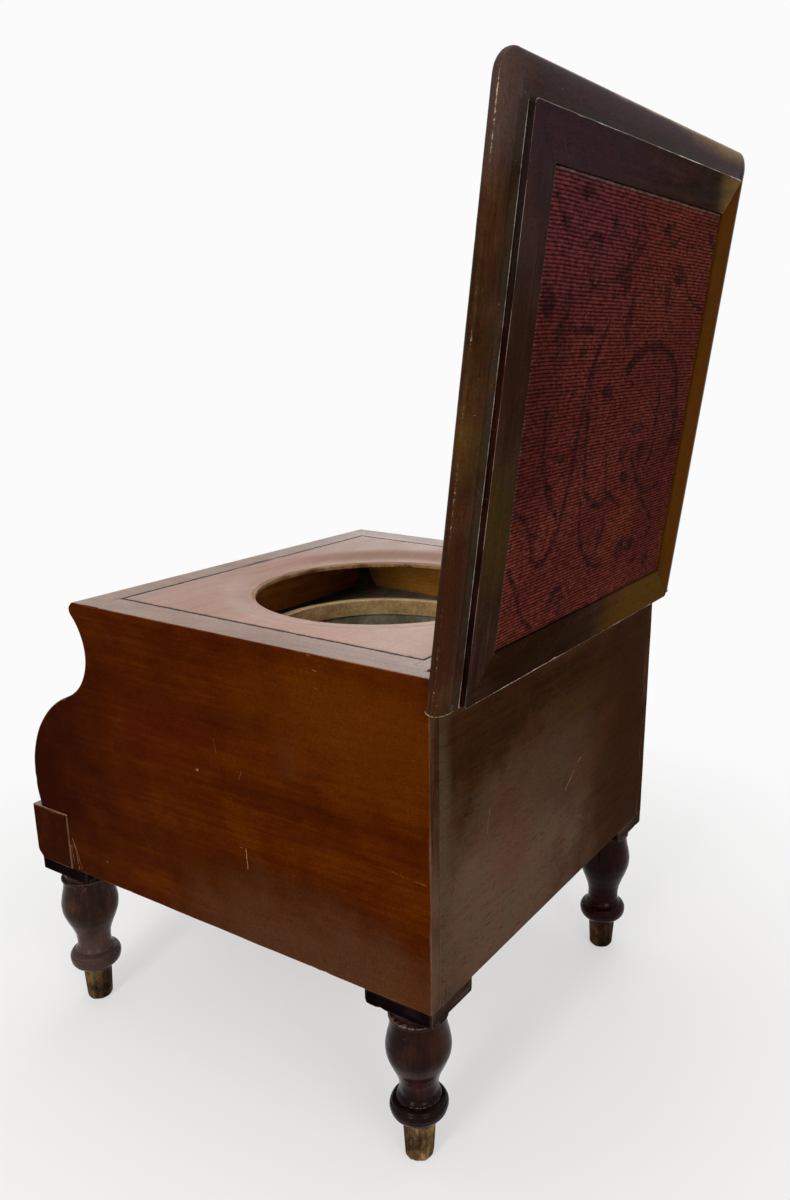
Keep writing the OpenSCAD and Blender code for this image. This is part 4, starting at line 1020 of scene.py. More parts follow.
def makeSeat():
    # height over distance from the hole's centre: rounded lip, cosine rise to the flat, then the edge's
    # quarter round; the underside runs back to the hole
    low, high = nodeBox("seat_board")
    top, under, hole, arris = high[2], low[2], seat["hole"], seat["arris"]
    centre = np.array([0, backFace - holeDepth])
    angles = np.linspace(0, 2 * math.pi, 320, endpoint=False)
    ways = np.stack([np.cos(angles), np.sin(angles)], -1)
    corners = np.array([[high[0], high[1]], [low[0], high[1]], [low[0], low[1]], [high[0], low[1]]]) - centre
    nearest = [np.abs((np.arctan2(c[1], c[0]) - angles + math.pi) % (2 * math.pi) - math.pi).argmin()
               for c in corners]
    for index, c in zip(nearest, corners):
        ways[index] = c / np.linalg.norm(c)

    def boardEdge(depth):
        # where each direction meets the board's edge, moved inwards by depth
        spans = np.where(ways > 0, high[:2] - depth - centre, low[:2] + depth - centre)
        with np.errstate(divide="ignore"):
            reach = np.where(np.abs(ways) > 1e-9, spans / np.where(np.abs(ways) > 1e-9, ways, 1), 9).min(1)
        return reach

    lip = arcPoints(hole + seat["lip"], -seat["drop"] - seat["lip"], seat["lip"], 180, 90, 8)
    t = np.linspace(0, 1, 33)[1:]
    # the rise from the lip to the flat, with slope and curvature both fading out: 10 t^3 - 15 t^4 + 6 t^5
    dish = np.stack([hole + seat["lip"] + (seat["dish"] + 6 * mm - seat["lip"]) * t,
                     -seat["drop"] * (1 - t ** 3 * (10 - 15 * t + 6 * t * t))], -1)
    wobble = 0.25 * mm * wander(angles * 0.1, 5, 0.12)
    rings, edges = [], []

    def addRing(reach, height, edge):
        rings.append(np.stack([centre[0] + ways[:, 0] * reach, centre[1] + ways[:, 1] * reach,
                               np.broadcast_to(height, reach.shape)], -1))
        edges.append(np.broadcast_to(edge, reach.shape))

    around = np.ones(len(angles))
    addRing(around * hole, under + 0.4 * mm, 0.6 * mm)
    for height in np.linspace(under + 1.2 * mm, top - seat["drop"] - seat["lip"], 4):
        addRing(around * hole + wobble * 0.3, height, 0.4 * mm)
    for r, h in lip[1:]:
        addRing(around * r + wobble * 0.3, top + h, 0.0)
    for r, h in dish:
        addRing(around * r, top + h, (r - hole - seat["lip"]) * 0.8)
    outer = boardEdge(arris)
    for share in np.linspace(0, 1, 8)[1:]:
        addRing((hole + seat["dish"] + 6 * mm) * (1 - share) + outer * share, top,
                (1.2 if share == 1 else 30) * mm)
    for angle in np.radians([22.5, 45, 67.5, 90]):
        addRing(boardEdge(arris * (1 - math.sin(angle))), top - arris * (1 - math.cos(angle)), 1.2 * mm)
    addRing(boardEdge(0), (top + under) / 2, 4 * mm)
    addRing(boardEdge(0), under + 0.3 * mm, 0.5 * mm)
    addRing(boardEdge(0.3 * mm), under, 0.5 * mm)
    addRing(around * (hole + 0.4 * mm), under, 0.5 * mm)
    points = np.array(rings)
    count, n = points.shape[:2]
    faces = stripFaces(count, n) + [[(count - 1) * n + i, (count - 1) * n + (i + 1) % n, (i + 1) % n, i]
                                    for i in range(n)]

    def rim(c):
        # 1 on the edge faces, painted near-black as the shade down in the gap round the board, 2 on the
        # hole's wall
        near = np.minimum(high[:2] - c[:, :2], c[:, :2] - low[:2]).min(1)
        wall = np.hypot(c[:, 0] - centre[0], c[:, 1] - centre[1]) < hole + 1.3 * mm
        return np.select([(near < 0.5 * mm) & (c[:, 2] < top - 0.1 * mm), wall], [1, 2], 0)

    return makePiece("seatBoard", points, faces, [seatWood, gapPaintedShade, holeWood], replaces=["seat_board"],
                     slot="seat_wood", second=rim, layers=dict(edge=np.array(edges)))


makeSeat()

# Shelf hoop: a bent pale ring standing on the shelf
hoop = dict(inner=0.117, wall=8 * mm)
hoopLow, hoopHigh = nodeBox("pot_hoop")
hoopSection = loopOf([[hoop["inner"], hoopLow[2]], [hoop["inner"] + hoop["wall"], hoopLow[2]],
                      [hoop["inner"] + hoop["wall"], hoopHigh[2]], [hoop["inner"], hoopHigh[2]]], 1.2 * mm,
                      2 * mm)
ringAngles = np.linspace(0, 2 * math.pi, 180, endpoint=False)[:, None]
hoopReach = hoopSection["points"][:, 0] + 0.35 * mm * wander(ringAngles * 0.12, 9, 0.2)
hoopRise = hoopSection["points"][:, 1] + 0.0 * ringAngles
hoopPoints = np.stack([hoopReach * np.cos(ringAngles), backFace - holeDepth + hoopReach * np.sin(ringAngles),
                       hoopRise], -1)
hoopCount = hoopPoints.shape[1]
hoopFaces = stripFaces(180, hoopCount) + [[179 * hoopCount + i, 179 * hoopCount + (i + 1) % hoopCount,
                                           (i + 1) % hoopCount, i] for i in range(hoopCount)]
makePiece("potHoop", hoopPoints, hoopFaces, hoopWood, replaces=["pot_hoop"], slot="pale_hoop_wood",
          layers=dict(edge=np.broadcast_to(hoopSection["away"], hoopPoints.shape[:2])))
print("seat and hoop made")


# Legs: peg, ring with cut grooves, neck, bulb and collar
leg = dict(pegFoot=0.01325, pegTop=0.01525, pegRound=0.0045, pegHeight=0.041, ring=0.0265, ringHeight=0.020,
           neck=0.0175, neckUp=0.013, bulb=0.02925, bulbDrop=0.0425, collar=0.0265, collarThick=0.0035,
           collarDrop=0.008, top=0.023, ringSlope=0.002)
# Cuts turned into the ring, as height, depth and half width
legCuts = [(0.0495, 0.5 * mm, 0.6 * mm), (0.0575, 0.7 * mm, 0.6 * mm), (0.0605, 0.6 * mm, 0.5 * mm)]


def legProfile(height, lift):
    foot = arcPoints(leg["pegFoot"] - leg["pegRound"], leg["pegRound"], leg["pegRound"], -90, 0, 8)
    ringMid = leg["pegHeight"] + leg["ringHeight"] / 2 + lift
    ringTop = ringMid + leg["ringHeight"] / 2
    ringFoot = leg["pegHeight"] + lift + 0.3 * mm
    flare = easeBetween(leg["pegTop"] - 0.5 * mm, ringFoot - 9 * mm, leg["pegTop"] + 1.3 * mm, ringFoot, 8)
    t = np.radians(np.linspace(-88, 70, 44))
    base = np.where(t < 0, leg["pegTop"], leg["neck"] + 2.0 * mm)
    reach = np.where(t < 0, leg["ringHeight"] / 2 + leg["ringSlope"],
                     leg["ringHeight"] / 2 - leg["ringSlope"])
    ringShape = np.stack([base + (leg["ring"] - base) * np.cos(t) ** np.where(t < 0, 0.95, 0.8),
                          ringMid + leg["ringSlope"] + reach * np.sin(t)], -1)
    neckFoot = easeBetween(leg["neck"] + 2.6 * mm, ringTop + 1.2 * mm, leg["neck"], ringTop + 8 * mm, 10)
    bulbZ, collarZ = height - leg["bulbDrop"], height - leg["collarDrop"] - leg["collarThick"]
    rise = easeBetween(leg["neck"], ringTop + leg["neckUp"], leg["bulb"], bulbZ, 40)
    fall = easeBetween(leg["bulb"], bulbZ, leg["collar"] - 1.9 * mm, collarZ - 1.0 * mm, 26)[1:]
    bead = arcPoints(leg["collar"] - leg["collarThick"] * 0.5, collarZ + leg["collarThick"] * 0.5,
                     leg["collarThick"] * 0.5, -80, 90, 10)
    parts = [[[0, 0]], foot, flare, ringShape, [[leg["neck"] + 1.7 * mm, ringTop + 0.4 * mm]], neckFoot,
             rise, fall, bead, [[leg["top"], collarZ + leg["collarThick"] + 0.2 * mm], [leg["top"], height]]]
    profile = spaced(np.concatenate(parts), 0.9 * mm)
    for at, depth, half in legCuts:
        profile[:, 0] -= depth * np.exp(-((profile[:, 1] - at - lift) / half) ** 2) * (profile[:, 0] > 0.012)
    return profile


def makeLeg(name, node, seed):
    looks, lift = legLooks[node[4:]]
    low, high = nodeBox(node)
    height = nodeBox(node.replace("leg", "leg_block"))[0][2]
    centre = (low[:2] + high[:2]) / 2
    profile = np.concatenate([legProfile(height, lift),
                              [[leg["top"], height + 0.1 * mm], [0, height + 0.1 * mm]]])
    collarZ, ringMid = height - leg["collarDrop"], leg["pegHeight"] + leg["ringHeight"] / 2 + lift
    z = profile[:, 1]
    edge = np.minimum(np.abs(z - collarZ + 0.4 * mm), np.abs(z - ringMid) + 1.0 * mm)
    edge = np.minimum(edge, np.abs(z - ringMid - leg["ringHeight"] / 2 - 1.2 * mm) + 0.2 * mm)

    def ripple(angle, up):
        knock = wander(angle * 0.1 + up * 0.35, seed, 0.16) * np.where(up < leg["pegHeight"], 0.45, 0.14) * mm
        bite = nicks(angle * leg["ring"], seed + 3, 2 * math.pi * leg["ring"], 5, 0.35 * mm, 2.0 * mm)
        crest = np.exp(-((up - ringMid) / (3.5 * mm)) ** 2)
        crest = crest + np.exp(-((up - collarZ + 1.6 * mm) / (1.5 * mm)) ** 2)
        turns = 0.05 * mm * np.sin(up / (1.7 * mm))
        return knock - bite * crest + turns * (up > leg["pegHeight"])

    return makeTurned(name, profile, centre, looks, ripple=ripple, replaces=[node], slot="dark_mahogany",
                      layers=dict(edge=edge[:, None]),
                      second=lambda c: c[:, 2] < leg["pegHeight"] + lift - mm)


class WideArris:
    # a larger round where a block's inner lower ends are chamfered
    end, radius = 0, 5 * mm

    def __init__(self, inner):
        self.inner = inner

    def __call__(self, points):
        return self.inner(points)


for end in ("rear", "front"):
    for side in ("left", "right"):
        seed = 51 + 8 * (end == "front") + 4 * (side == "left")
        low, high = nodeBox(f"leg_block_{end}_{side}")
        innerX = high[0] if side == "left" else low[0]
        innerY = low[1] if end == "rear" else high[1]
        wide = WideArris(lambda p, x=innerX, y=innerY:
                         (np.abs(p[:, 0] - x) < mm) | (np.abs(p[:, 1] - y) < mm))
        name = end + side.capitalize()
        makeBoard(name + "Block", rectangle(low[:2], high[:2]), low[2], high[2], standing("xyz"),
                  [blockWood, blockRear], second=facing(1, backFace), arris=(1.6 * mm, 0.2 * mm),
                  corner=1.6 * mm, seed=seed, dents=8, spacing=4 * mm, wide=wide, border=8 * mm,
                  replaces=[f"leg_block_{end}_{side}"], slot="dark_mahogany")
        makeLeg(name + "Leg", f"leg_{end}_{side}", seed)
print("legs and blocks made")

# The lid: a board whose moulded edge runs round its two sides and front
lidLow, lidHigh = lidBox("lid_board")
frameLow, frameHigh = lidBox("lid_frame_left")
lid = dict(halfWidth=lidHigh[0], reach=lidHigh[1], back=lidLow[1], under=lidLow[2], top=frameLow[2],
           corner=0.018, shoulder=0.0145, cove=0.0273, coveDepth=0.6 * mm, arris=0.7 * mm, moulded=0.032)
# The steps of the quarter round at the hinge edge, as shares of the arris
easeSteps = np.array([0, 0.08, 0.3, 0.62, 1.0])


def lidSection():
    # the moulded edge as inset from the rim and height, the distance to a line along the round just above its
    # middle, where the wear colours paint a highlight, and the nearness of the frame's foot: a quarter round
    # below, a fuller curve above, a shallow cove up to the frame's foot, and the flat that carries the frame
    thick = lid["top"] - lid["under"]
    half = thick / 2
    below = arcPoints(half, half, half, 270, 180, 12)
    t = np.radians(np.linspace(0, 90, 20))[1:]
    above = np.stack([lid["shoulder"] * (1 - np.cos(t)), half + half * np.sin(t) ** 0.9], -1)
    share = np.linspace(0, 1, 13)
    dip = lid["coveDepth"] * np.sin(math.pi * share) ** 1.5
    cove = np.stack([lid["shoulder"] + (lid["cove"] - lid["shoulder"]) * share, thick - dip], -1)
    section = np.concatenate([[[0.06, 0], [0.02, 0]], below, above, cove[1:], [[0.03, thick], [0.06, thick]]])
    # distance to the painted highlight line, 0.9 mm above the middle of the round
    gap = np.minimum(np.abs(section[:, 1] - half - 0.9 * mm), 10 * mm)
    foot = np.clip(1 - np.abs(section[:, 0] - lid["cove"]) / (14 * mm), 0, 1)
    foot = np.where(section[:, 1] > half, foot, 0)
    return section, gap, foot


def lidPath(depth):
    # the rim's line moved inwards: up one side, round a corner, across the front and down the other side
    depth = np.asarray(depth, float)[:, None]
    width, reach = lid["halfWidth"] - depth, lid["reach"] - depth
    radius = np.maximum(lid["corner"] - depth, 0.6 * mm)
    first = lid["back"] + 4 * mm
    rounded = lid["back"] + lid["arris"] * easeSteps + 0 * depth
    side = np.concatenate([rounded, first + (reach - radius - 8 * mm - first) * np.linspace(0, 1, 60)], 1)
    turn = np.radians(np.linspace(0, 90, 13))
    across = np.linspace(-1, 1, 60)[1:-1]
    xs = [-width + 0 * side, radius * (1 - np.cos(turn)) - width, across * (width - radius)]
    ys = [side, reach - radius + radius * np.sin(turn), reach + 0 * across]
    rightX = [radius * (np.cos(turn[::-1]) - 1) + width, width + 0 * side]
    rightY = [reach - radius + radius * np.sin(turn[::-1]), side[:, ::-1]]
    spread = [np.broadcast_to(v, (len(depth), v.shape[1])) for v in (*xs, *rightX)]
    reachOf = [np.broadcast_to(v, (len(depth), v.shape[1])) for v in (*ys, *rightY)]
    return np.concatenate(spread, 1), np.concatenate(reachOf, 1), side.shape[1]


def makeLid():
    section, gap, foot = lidSection()
    x, reach, sideCount = lidPath(section[:, 0])
    height = lid["under"] + section[:, 1][:, None] + 0 * x
    # the painted highlight line fades towards the hinge
    gap = gap[:, None] + np.clip((0.27 - reach) / 0.05, 0, 1) * 0.42 * mm
    # near the hinge edge the section shrinks by the arris, as a quarter round
    shrink = np.zeros(x.shape[1])
    ease = lid["arris"] * (1 - np.sqrt(1 - (1 - easeSteps) ** 2))
    shrink[:5], shrink[-5:] = ease, ease[::-1]
    slope = np.gradient(section, axis=0)
    normal = np.stack([-slope[:, 1], slope[:, 0]], -1)
    normal /= np.linalg.norm(normal, axis=1)[:, None]
    x = x + np.sign(x) * (normal[:, 0][:, None] * shrink) * -1
    height = height + normal[:, 1][:, None] * shrink
    rows, columns = x.shape
    rim = 0.22 * mm * wander(np.arange(columns) * 7 * mm, 71, 0.10) + nicks(
        np.arange(columns) * 7 * mm, 75, columns * 7 * mm, 14, 0.5 * mm, 4 * mm)
    bold = np.clip(1 - section[:, 0] / (8 * mm), 0, 1)[:, None]
    x = x - np.sign(x) * np.abs(rim) * bold * (np.abs(x) > lid["halfWidth"] - 0.02)
    faces = stripFaces(rows, columns, closed=False)
    points = fromLid(x, reach, height)
    for row in (0, rows - 1):
        start = row * columns
        last = start + columns - 1
        for i in range(sideCount - 1):
            faces.append([start + i, start + i + 1, last - i - 1, last - i][::-1 if row == 0 else 1])
        faces.append(list(range(start + sideCount - 1, last - sideCount + 2))[::-1 if row == 0 else 1])
    ends = [r * columns for r in range(rows)] + [r * columns + columns - 1 for r in range(rows)][::-1]
    faces.append(ends)
    stations = np.concatenate([[0], np.cumsum(np.hypot(np.diff(x[20]), np.diff(reach[20])))])
    runs = np.concatenate([[0], np.cumsum(np.hypot(*np.diff(section, axis=0).T))])
    uv = np.stack(np.broadcast_arrays(stations[None, :], runs[:, None]), -1)
    hingeEnd = np.minimum(reach - lid["back"], 10 * mm)
    # the moulding's edge layer: the painted highlight line along the round, and real wear at the hinge end
    edge = np.minimum(np.minimum(gap, hingeEnd), 10 * mm)
    piece = makePiece("lidBoard", points, faces, [mouldingWood, lidWood], body="lid", replaces=["lid_board"],
                      slot="dark_mahogany", layers=dict(edge=edge, foot=foot[:, None]), uv=uv)
    inside = np.abs(np.array([p.center[0] for p in piece.data.polygons])) < lid["halfWidth"] - lid["moulded"]
    centres = np.array([p.center for p in piece.data.polygons]) - hinge
    c, s = math.cos(openAngle), math.sin(openAngle)
    near = centres[:, 2] * s - centres[:, 1] * c < lid["reach"] - lid["moulded"]
    piece.data.polygons.foreach_set("material_index", (inside & near).astype(np.int32))
    return piece


lidPiece = makeLid()
knuckle = 3.24 * mm
pockets = []
for node in ("lid_leaf_left", "lid_leaf_right"):
    low, high = lidBox(node)
    pockets.append(boxCutter([low[0], -0.2 * mm, -mm], [high[0], high[1], lid["under"] + leafThick], fromLid))
    angles = np.linspace(0, 2 * math.pi, 40, endpoint=False)
    rod = np.concatenate([fromLid(x, knuckle * np.cos(angles), knuckle * np.sin(angles))
                          for x in (low[0], high[0])])
    mesh = bpy.data.meshes.new("cutter")
    mesh.from_pydata(rod.tolist(), [], stripFaces(2, 40) + [list(range(40))[::-1], list(range(40, 80))])
    pockets.append(cutterObject(mesh))
cutAway(lidPiece, pockets)

# The raised frame: four lengths that meet at mitres, with rounded outer corners
frameWidth, frontWidth, backWidth = 0.0360, 0.0325, 0.0355
heightLow, heightHigh = frameLow[2], frameHigh[2]
frameHalf, frameFront, frameBack = max(abs(frameLow[0]), abs(frameHigh[0])), frameHigh[1], frameLow[1]
frameRound = 4 * mm


def frameLength(first, second, turn):
    # an outer edge from one rounded corner of the frame to the next, then a mitre, the inner edge and
    # the other mitre; corners are given as signs of x and reach
    ends = []
    for i, (sx, sy) in enumerate((first, second)):
        cx = sx * (frameHalf - frameRound)
        cy = frameFront - frameRound if sy > 0 else frameBack + frameRound
        ends.append(arcPoints(cx, cy, frameRound, turn + 45 * i, turn + 45 * (i + 1), 4))
    inside = [[sx * (frameHalf - frameWidth), frameFront - frontWidth if sy > 0 else frameBack + backWidth]
              for sx, sy in (second, first)]
    return np.concatenate([*ends, inside])


for name, first, second, turn, wood in (("right", (1, -1), (1, 1), -45, frameAlong),
                                        ("front", (1, 1), (-1, 1), 45, frameAcross),
                                        ("left", (-1, 1), (-1, -1), 135, frameAlong),
                                        ("back", (-1, -1), (1, -1), 225, frameAcross)):
    # the side lengths' outer faces take the darker copy of the finish, painted shade
    outer = (lambda c: np.abs(c[:, 0]) > frameHalf - 0.2 * mm) if wood is frameAlong else None
    makeBoard(name + "LidFrame", frameLength(first, second, turn), heightLow, heightHigh, fromLid,
              [wood, frameSideShade], second=outer, arris=(0.12 * mm, 0.45 * mm), corner=0.3 * mm, tight=(10,),
              joined=(9, 11), seed=sum(map(ord, name)), dents=9, wear=0.2, body="lid", border=1.4 * mm,
              replaces=["lid_frame_" + name], slot="dark_mahogany")
print("lid and frame made")

# Carpet: ribs across the lid, with a dark foliate figure woven loop by loop
carpet = dict(rib=2.75 * mm, loop=2.0 * mm, rise=0.5 * mm, rowsPerRib=5)
# Lines of the figure as x, reach in millimetres and their half width, then leaves as middle, length,
# width and turn in degrees
figureLines = [
    (2.6, [(45, 257), (56, 240), (67, 215), (71, 190), (74, 165), (76, 146), (79, 121), (84, 100), (94, 84),
           (103, 74), (115, 72), (124, 78), (131, 93), (139, 107), (151, 116), (164, 121)]),
    (2.3, [(55, 246), (60, 223), (63, 207), (60, 186), (56, 165), (51, 144), (46, 126), (35, 116),
           (20, 108), (6, 107), (-8, 112), (-22, 105), (-36, 98)]),
    (2.2, [(48, 112), (47, 97), (41, 81), (30, 67), (16, 56), (-1, 49), (-15, 46)]),
    (4.2, [(-7, 220), (-17, 228), (-30, 234), (-47, 238), (-69, 239)]),
    (3.4, [(-69, 239), (-88, 235), (-105, 227), (-119, 215), (-130, 196), (-137, 179), (-140, 165),
           (-138, 149), (-127, 132)]),
    (2.2, [(-84, 205), (-89, 188), (-90, 165), (-90, 143), (-83, 135)]),
    (2.6, [(-44, 146), (-55, 132), (-69, 116), (-86, 107), (-103, 106), (-122, 109)]),
    (2.0, [(-83, 102), (-97, 90), (-108, 85), (-120, 70)]),
    (2.2, [(129, 160), (122, 146), (114, 132), (103, 118), (89, 104)]),
    (1.8, [(133, 193), (129, 165), (126, 150)]),
    (2.2, [(158, 338), (147, 327), (133, 317)]),
    (2.2, [(100, 316), (88, 318), (78, 317)]),
    (1.8, [(94, 295), (89, 285), (78, 284), (72, 290)]),
    (2.8, [(114, 253), (97, 251), (83, 252), (72, 253)]),
    (5.0, [(6, 277), (7, 263), (6, 242)]),
    (2.4, [(20, 316), (13, 326), (6, 333)]),
    (1.9, [(-103, 296), (-114, 285), (-131, 278), (-147, 274), (-160, 272)]),
    (2.0, [(161, 77), (150, 63), (139, 46), (128, 30), (111, 18)]),
    (1.6, [(14, 154), (8, 138), (1, 118), (-3, 116)]),
    (1.6, [(-117, 193), (-128, 179), (-133, 168)]),
    (1.6, [(-69, 190), (-80, 182), (-86, 179)]),
    (1.8, [(-113, 40), (-121, 27), (-136, 20)]),
    (2.0, [(-57, 338), (-50, 330), (-62, 322), (-76, 330)])]
figureLeaves = [
    (102, 156, 32, 8, -8), (111, 130, 36, 13, -48), (25, 203, 24, 14, -42), (-47, 168, 42, 14, 2),
    (-22, 147, 30, 22, 25), (-36, 125, 24, 16, -20), (-65, 147, 24, 22, 40), (23, 293, 38, 20, -78),
    (8, 312, 34, 12, 38), (36, 292, 24, 12, 10), (-84, 300, 40, 26, -15), (-68, 283, 36, 16, -82),
    (153, 270, 34, 26, -60), (125, 246, 28, 24, 70), (125, 265, 34, 22, 80), (116, 346, 24, 16, 0),
    (-38, 237, 22, 16, 35), (-19, 209, 14, 6, -55), (-1, 81, 34, 16, 78), (69, 37, 34, 22, -12),
    (82, 32, 20, 14, 35), (62, 22, 16, 9, 80), (-74, 56, 26, 18, 20), (-51, 56, 32, 26, -40),
    (-92, 42, 22, 12, 60), (-152, 151, 26, 20, 10), (-124, 35, 26, 12, 84), (92, 205, 16, 9, 30),
    (86, 236, 18, 8, 15), (127, 97, 20, 15, 60), (137, 135, 18, 11, 60), (-100, 323, 32, 8, 5),
    (-118, 217, 16, 9, -50), (-44, 333, 20, 11, 10), (-150, 333, 22, 12, -30), (60, 330, 18, 8, -70),
    (-118, 62, 20, 10, 30), (30, 204, 24, 15, 20), (86, 283, 18, 9, 0)]


def smoothLine(points, step=0.7 * mm):
    # a rounded line through the points, each stretch from the cubic that leans on both neighbours
    p = np.array(points, float) * mm
    p = np.concatenate([[2 * p[0] - p[1]], p, [2 * p[-1] - p[-2]]])
    parts = []
    for a, b, c, d in zip(p, p[1:], p[2:], p[3:]):
        t = np.linspace(0, 1, max(int(np.linalg.norm(c - b) / step), 2), endpoint=False)[:, None]
        parts.append(0.5 * (2 * b + (c - a) * t + (2 * a - 5 * b + 4 * c - d) * t ** 2
                            + (3 * b - a - 3 * c + d) * t ** 3))
    return np.concatenate(parts)


def figureShade(x, reach):
    # how dark each loop is: lines by distance, leaves as lens shapes with a paler vein
    shade = np.zeros(x.shape)
    for half, points in figureLines:
        line = smoothLine(points)
        gap = np.sqrt((x[..., None] - line[:, 0]) ** 2 + (reach[..., None] - line[:, 1]) ** 2).min(-1)
        shade = np.maximum(shade, np.clip(1.6 - gap / (half * mm), 0, 1) * 0.95)
    for cx, cr, length, width, turn in figureLeaves:
        c, s = math.cos(math.radians(turn)), math.sin(math.radians(turn))
        u = ((cx * mm - x) * c + (reach - cr * mm) * s) / (length / 2 * mm)
        v = ((x - cx * mm) * s + (reach - cr * mm) * c) / (width / 2 * mm)
        lens = np.clip(1 - np.abs(u), 0, 1) ** 0.6
        inside = np.clip((lens - np.abs(v)) * 3.0, 0, 1)
        vein = 1 - 0.3 * np.exp(-(v / 0.18) ** 2)
        shade = np.maximum(shade, inside * vein * 0.92)
    return shade


def makeCarpet():
    low, high = lidBox("lid_carpet")
    wide, long = high[0] - low[0], high[1] - low[1]
    ribs, loops = round(long / carpet["rib"]), round(wide / carpet["loop"])
    u, v = (np.arange(loops) + 0.5) / loops * wide, (np.arange(ribs) + 0.5) / ribs * long
    cellX, cellY = np.meshgrid(u, v)
    dice = np.random.default_rng(404)
    slipX, slipY = (1.0 * mm * wander(cellX * 2 + cellY, 62 + i, 0.06) for i in range(2))
    shade = figureShade(low[0] + cellX + slipX, low[1] + cellY + slipY)
    shade = np.clip(shade * (0.8 + 0.25 * wander(cellX + cellY * 1.3, 64, 0.08)), 0, 1)
    spots = dice.normal(0, 0.10, shade.shape) * (shade > 0.05)
    shade = np.clip(shade + spots + 0.03 * dice.random(shade.shape), 0, 1)
    yarn = 0.45 + 0.11 * dice.normal(0, 1, shade.shape) + 0.12 * wander(cellY * 3 + cellX, 61, 0.5)
    yarn = np.clip(yarn, 0, 1)
    # each loop is one column wide and each rib five rows deep, flat valleys between them
    profile = np.array([0.0, 0.55, 1.0, 0.90, 0.35])
    rows, columns = ribs * carpet["rowsPerRib"] + 1, loops + 1
    r = np.arange(rows)
    crest = profile[r % carpet["rowsPerRib"]][:, None] * np.ones(columns)
    x = np.linspace(0, wide, columns)[None, :] + np.zeros((rows, 1))
    y = (r / (rows - 1) * long)[:, None] + 0.22 * mm * wander(x * 1.0, 66, 0.12)
    puff = 0.12 * mm * wander(x * 7 + y * 3, 67, 0.05) + 0.18 * mm * wander(x + y * 0.7, 68, 0.2)
    loopBump = 0.04 * mm * dice.normal(0, 1, (rows, columns))
    rimGap = np.minimum(np.minimum(x, wide - x + 3 * mm), np.minimum(y, long - y + 3 * mm))
    droop = 0.9 * mm * np.exp(-np.clip(rimGap, 0, 1) / (1.6 * mm))
    height = high[2] - 0.55 * mm + carpet["rise"] * (crest - 0.3) + (puff + loopBump * crest) - droop
    cellRow = np.clip(r // carpet["rowsPerRib"], 0, ribs - 1)
    cellColumn = np.clip(np.arange(columns), 0, loops - 1)
    layers = {key: np.concatenate([grid[cellRow][:, cellColumn].ravel(), np.zeros(2 * (rows + columns) - 4)])
              for key, grid in (("figure", shade), ("yarn", yarn))}
    hemGap = np.minimum(wide - x, long - y) / (3.2 * mm * (1 + 0.4 * wander(x * 3 - y * 2.6, 72, 0.03)))
    layers["hem"] = np.concatenate([np.clip(1.4 - hemGap, 0, 1).ravel(), np.zeros(2 * (rows + columns) - 4)])
    # crest drops to nothing along the edges at low x and low reach, where the shader paints a dark line as
    # the gap's shade
    crest = np.where((y < 1.2 * mm) | (x < 1.2 * mm), 0, crest)
    layers["crest"] = np.concatenate([crest.ravel(), np.zeros(2 * (rows + columns) - 4)])
    shift = dice.uniform(0, 1, ribs)[cellRow][:, None]
    turns = shift + np.arange(columns)[None, :] * 1.0 + 0.2 * wander(x * 5 + y, 69, 0.1)
    layers["turn"] = np.concatenate([turns.ravel(), np.zeros(2 * (rows + columns) - 4)])
    y = np.clip(y, 0, long)
    top = fromLid(low[0] + x, low[1] + y, height).reshape(-1, 3)
    grid = np.arange(rows * columns).reshape(rows, columns)
    border = np.concatenate([grid[0], grid[1:, -1], grid[-1, -2::-1], grid[-2:0:-1, 0]])
    hem = fromLid(low[0] + x.ravel()[border], low[1] + y.ravel()[border], low[2] + 0 * border)
    n, first = len(border), rows * columns
    faces = stripFaces(rows, columns, closed=False)
    faces += [[border[i], first + i, first + (i + 1) % n, border[(i + 1) % n]] for i in range(n)]
    faces.append([first + i for i in range(n)][::-1])
    made = makePiece("carpetPanel", np.concatenate([top, hem]), [list(map(int, face)) for face in faces],
                     wool, body="lid", replaces=["lid_carpet"], slot="carpet", layers=layers)
    return made, wide, long


carpetPiece, carpetWide, carpetLong = makeCarpet()


def makeFray():
    # loose ends of yarn along the carpet's edges: short bent strands of three sides
    low, high = lidBox("lid_carpet")
    dice = np.random.default_rng(77)
    points, faces = [], []
    for i in range(260):
        edge = dice.choice(4, p=[0.46, 0.22, 0.22, 0.10])
        along = dice.uniform(0.01, 0.99)
        x = {1: low[0], 2: high[0]}.get(edge, low[0] + along * (high[0] - low[0]))
        reach = {0: high[1], 3: low[1]}.get(edge, low[1] + along * (high[1] - low[1]))
        outward = np.array({0: (0, 1), 1: (-1, 0), 2: (1, 0), 3: (0, -1)}[edge], float)
        size = dice.uniform(1.2, 4.0) * mm
        t = np.linspace(0, 1, 6)[:, None]
        sway = dice.normal(0, 0.5, 2)
        across = np.array([x, reach]) - outward * 1.5 * mm + (outward * 0.55 + sway * 0.6) * size * t
        line = np.concatenate([across + sway[::-1] * size * 0.5 * t ** 2,
                               high[2] - 0.9 * mm + 2.2 * mm * t * (1.25 - t) + 0 * t], 1)
        spin = np.radians([0, 120, 240])
        radius = 0.11 * mm * (1 - 0.6 * t)
        ring = line[:, None, :] + radius[:, None] * np.stack([np.cos(spin), 0 * spin, np.sin(spin)], -1)
        start = len(points) * 18
        points.append(fromLid(ring[..., 0], ring[..., 1], ring[..., 2]).reshape(-1, 3))
        faces += [[start + a for a in face] for face in stripFaces(6, 3)]
        faces += [[start + 2, start + 1, start], [start + 15, start + 16, start + 17]]
    points = np.concatenate(points)
    return makePiece("carpetFray", points, faces, wool, body="lid", slot="carpet",
                     layers=dict(figure=0.0, yarn=1.0, crest=1.0, turn=0.0, hem=0.8))


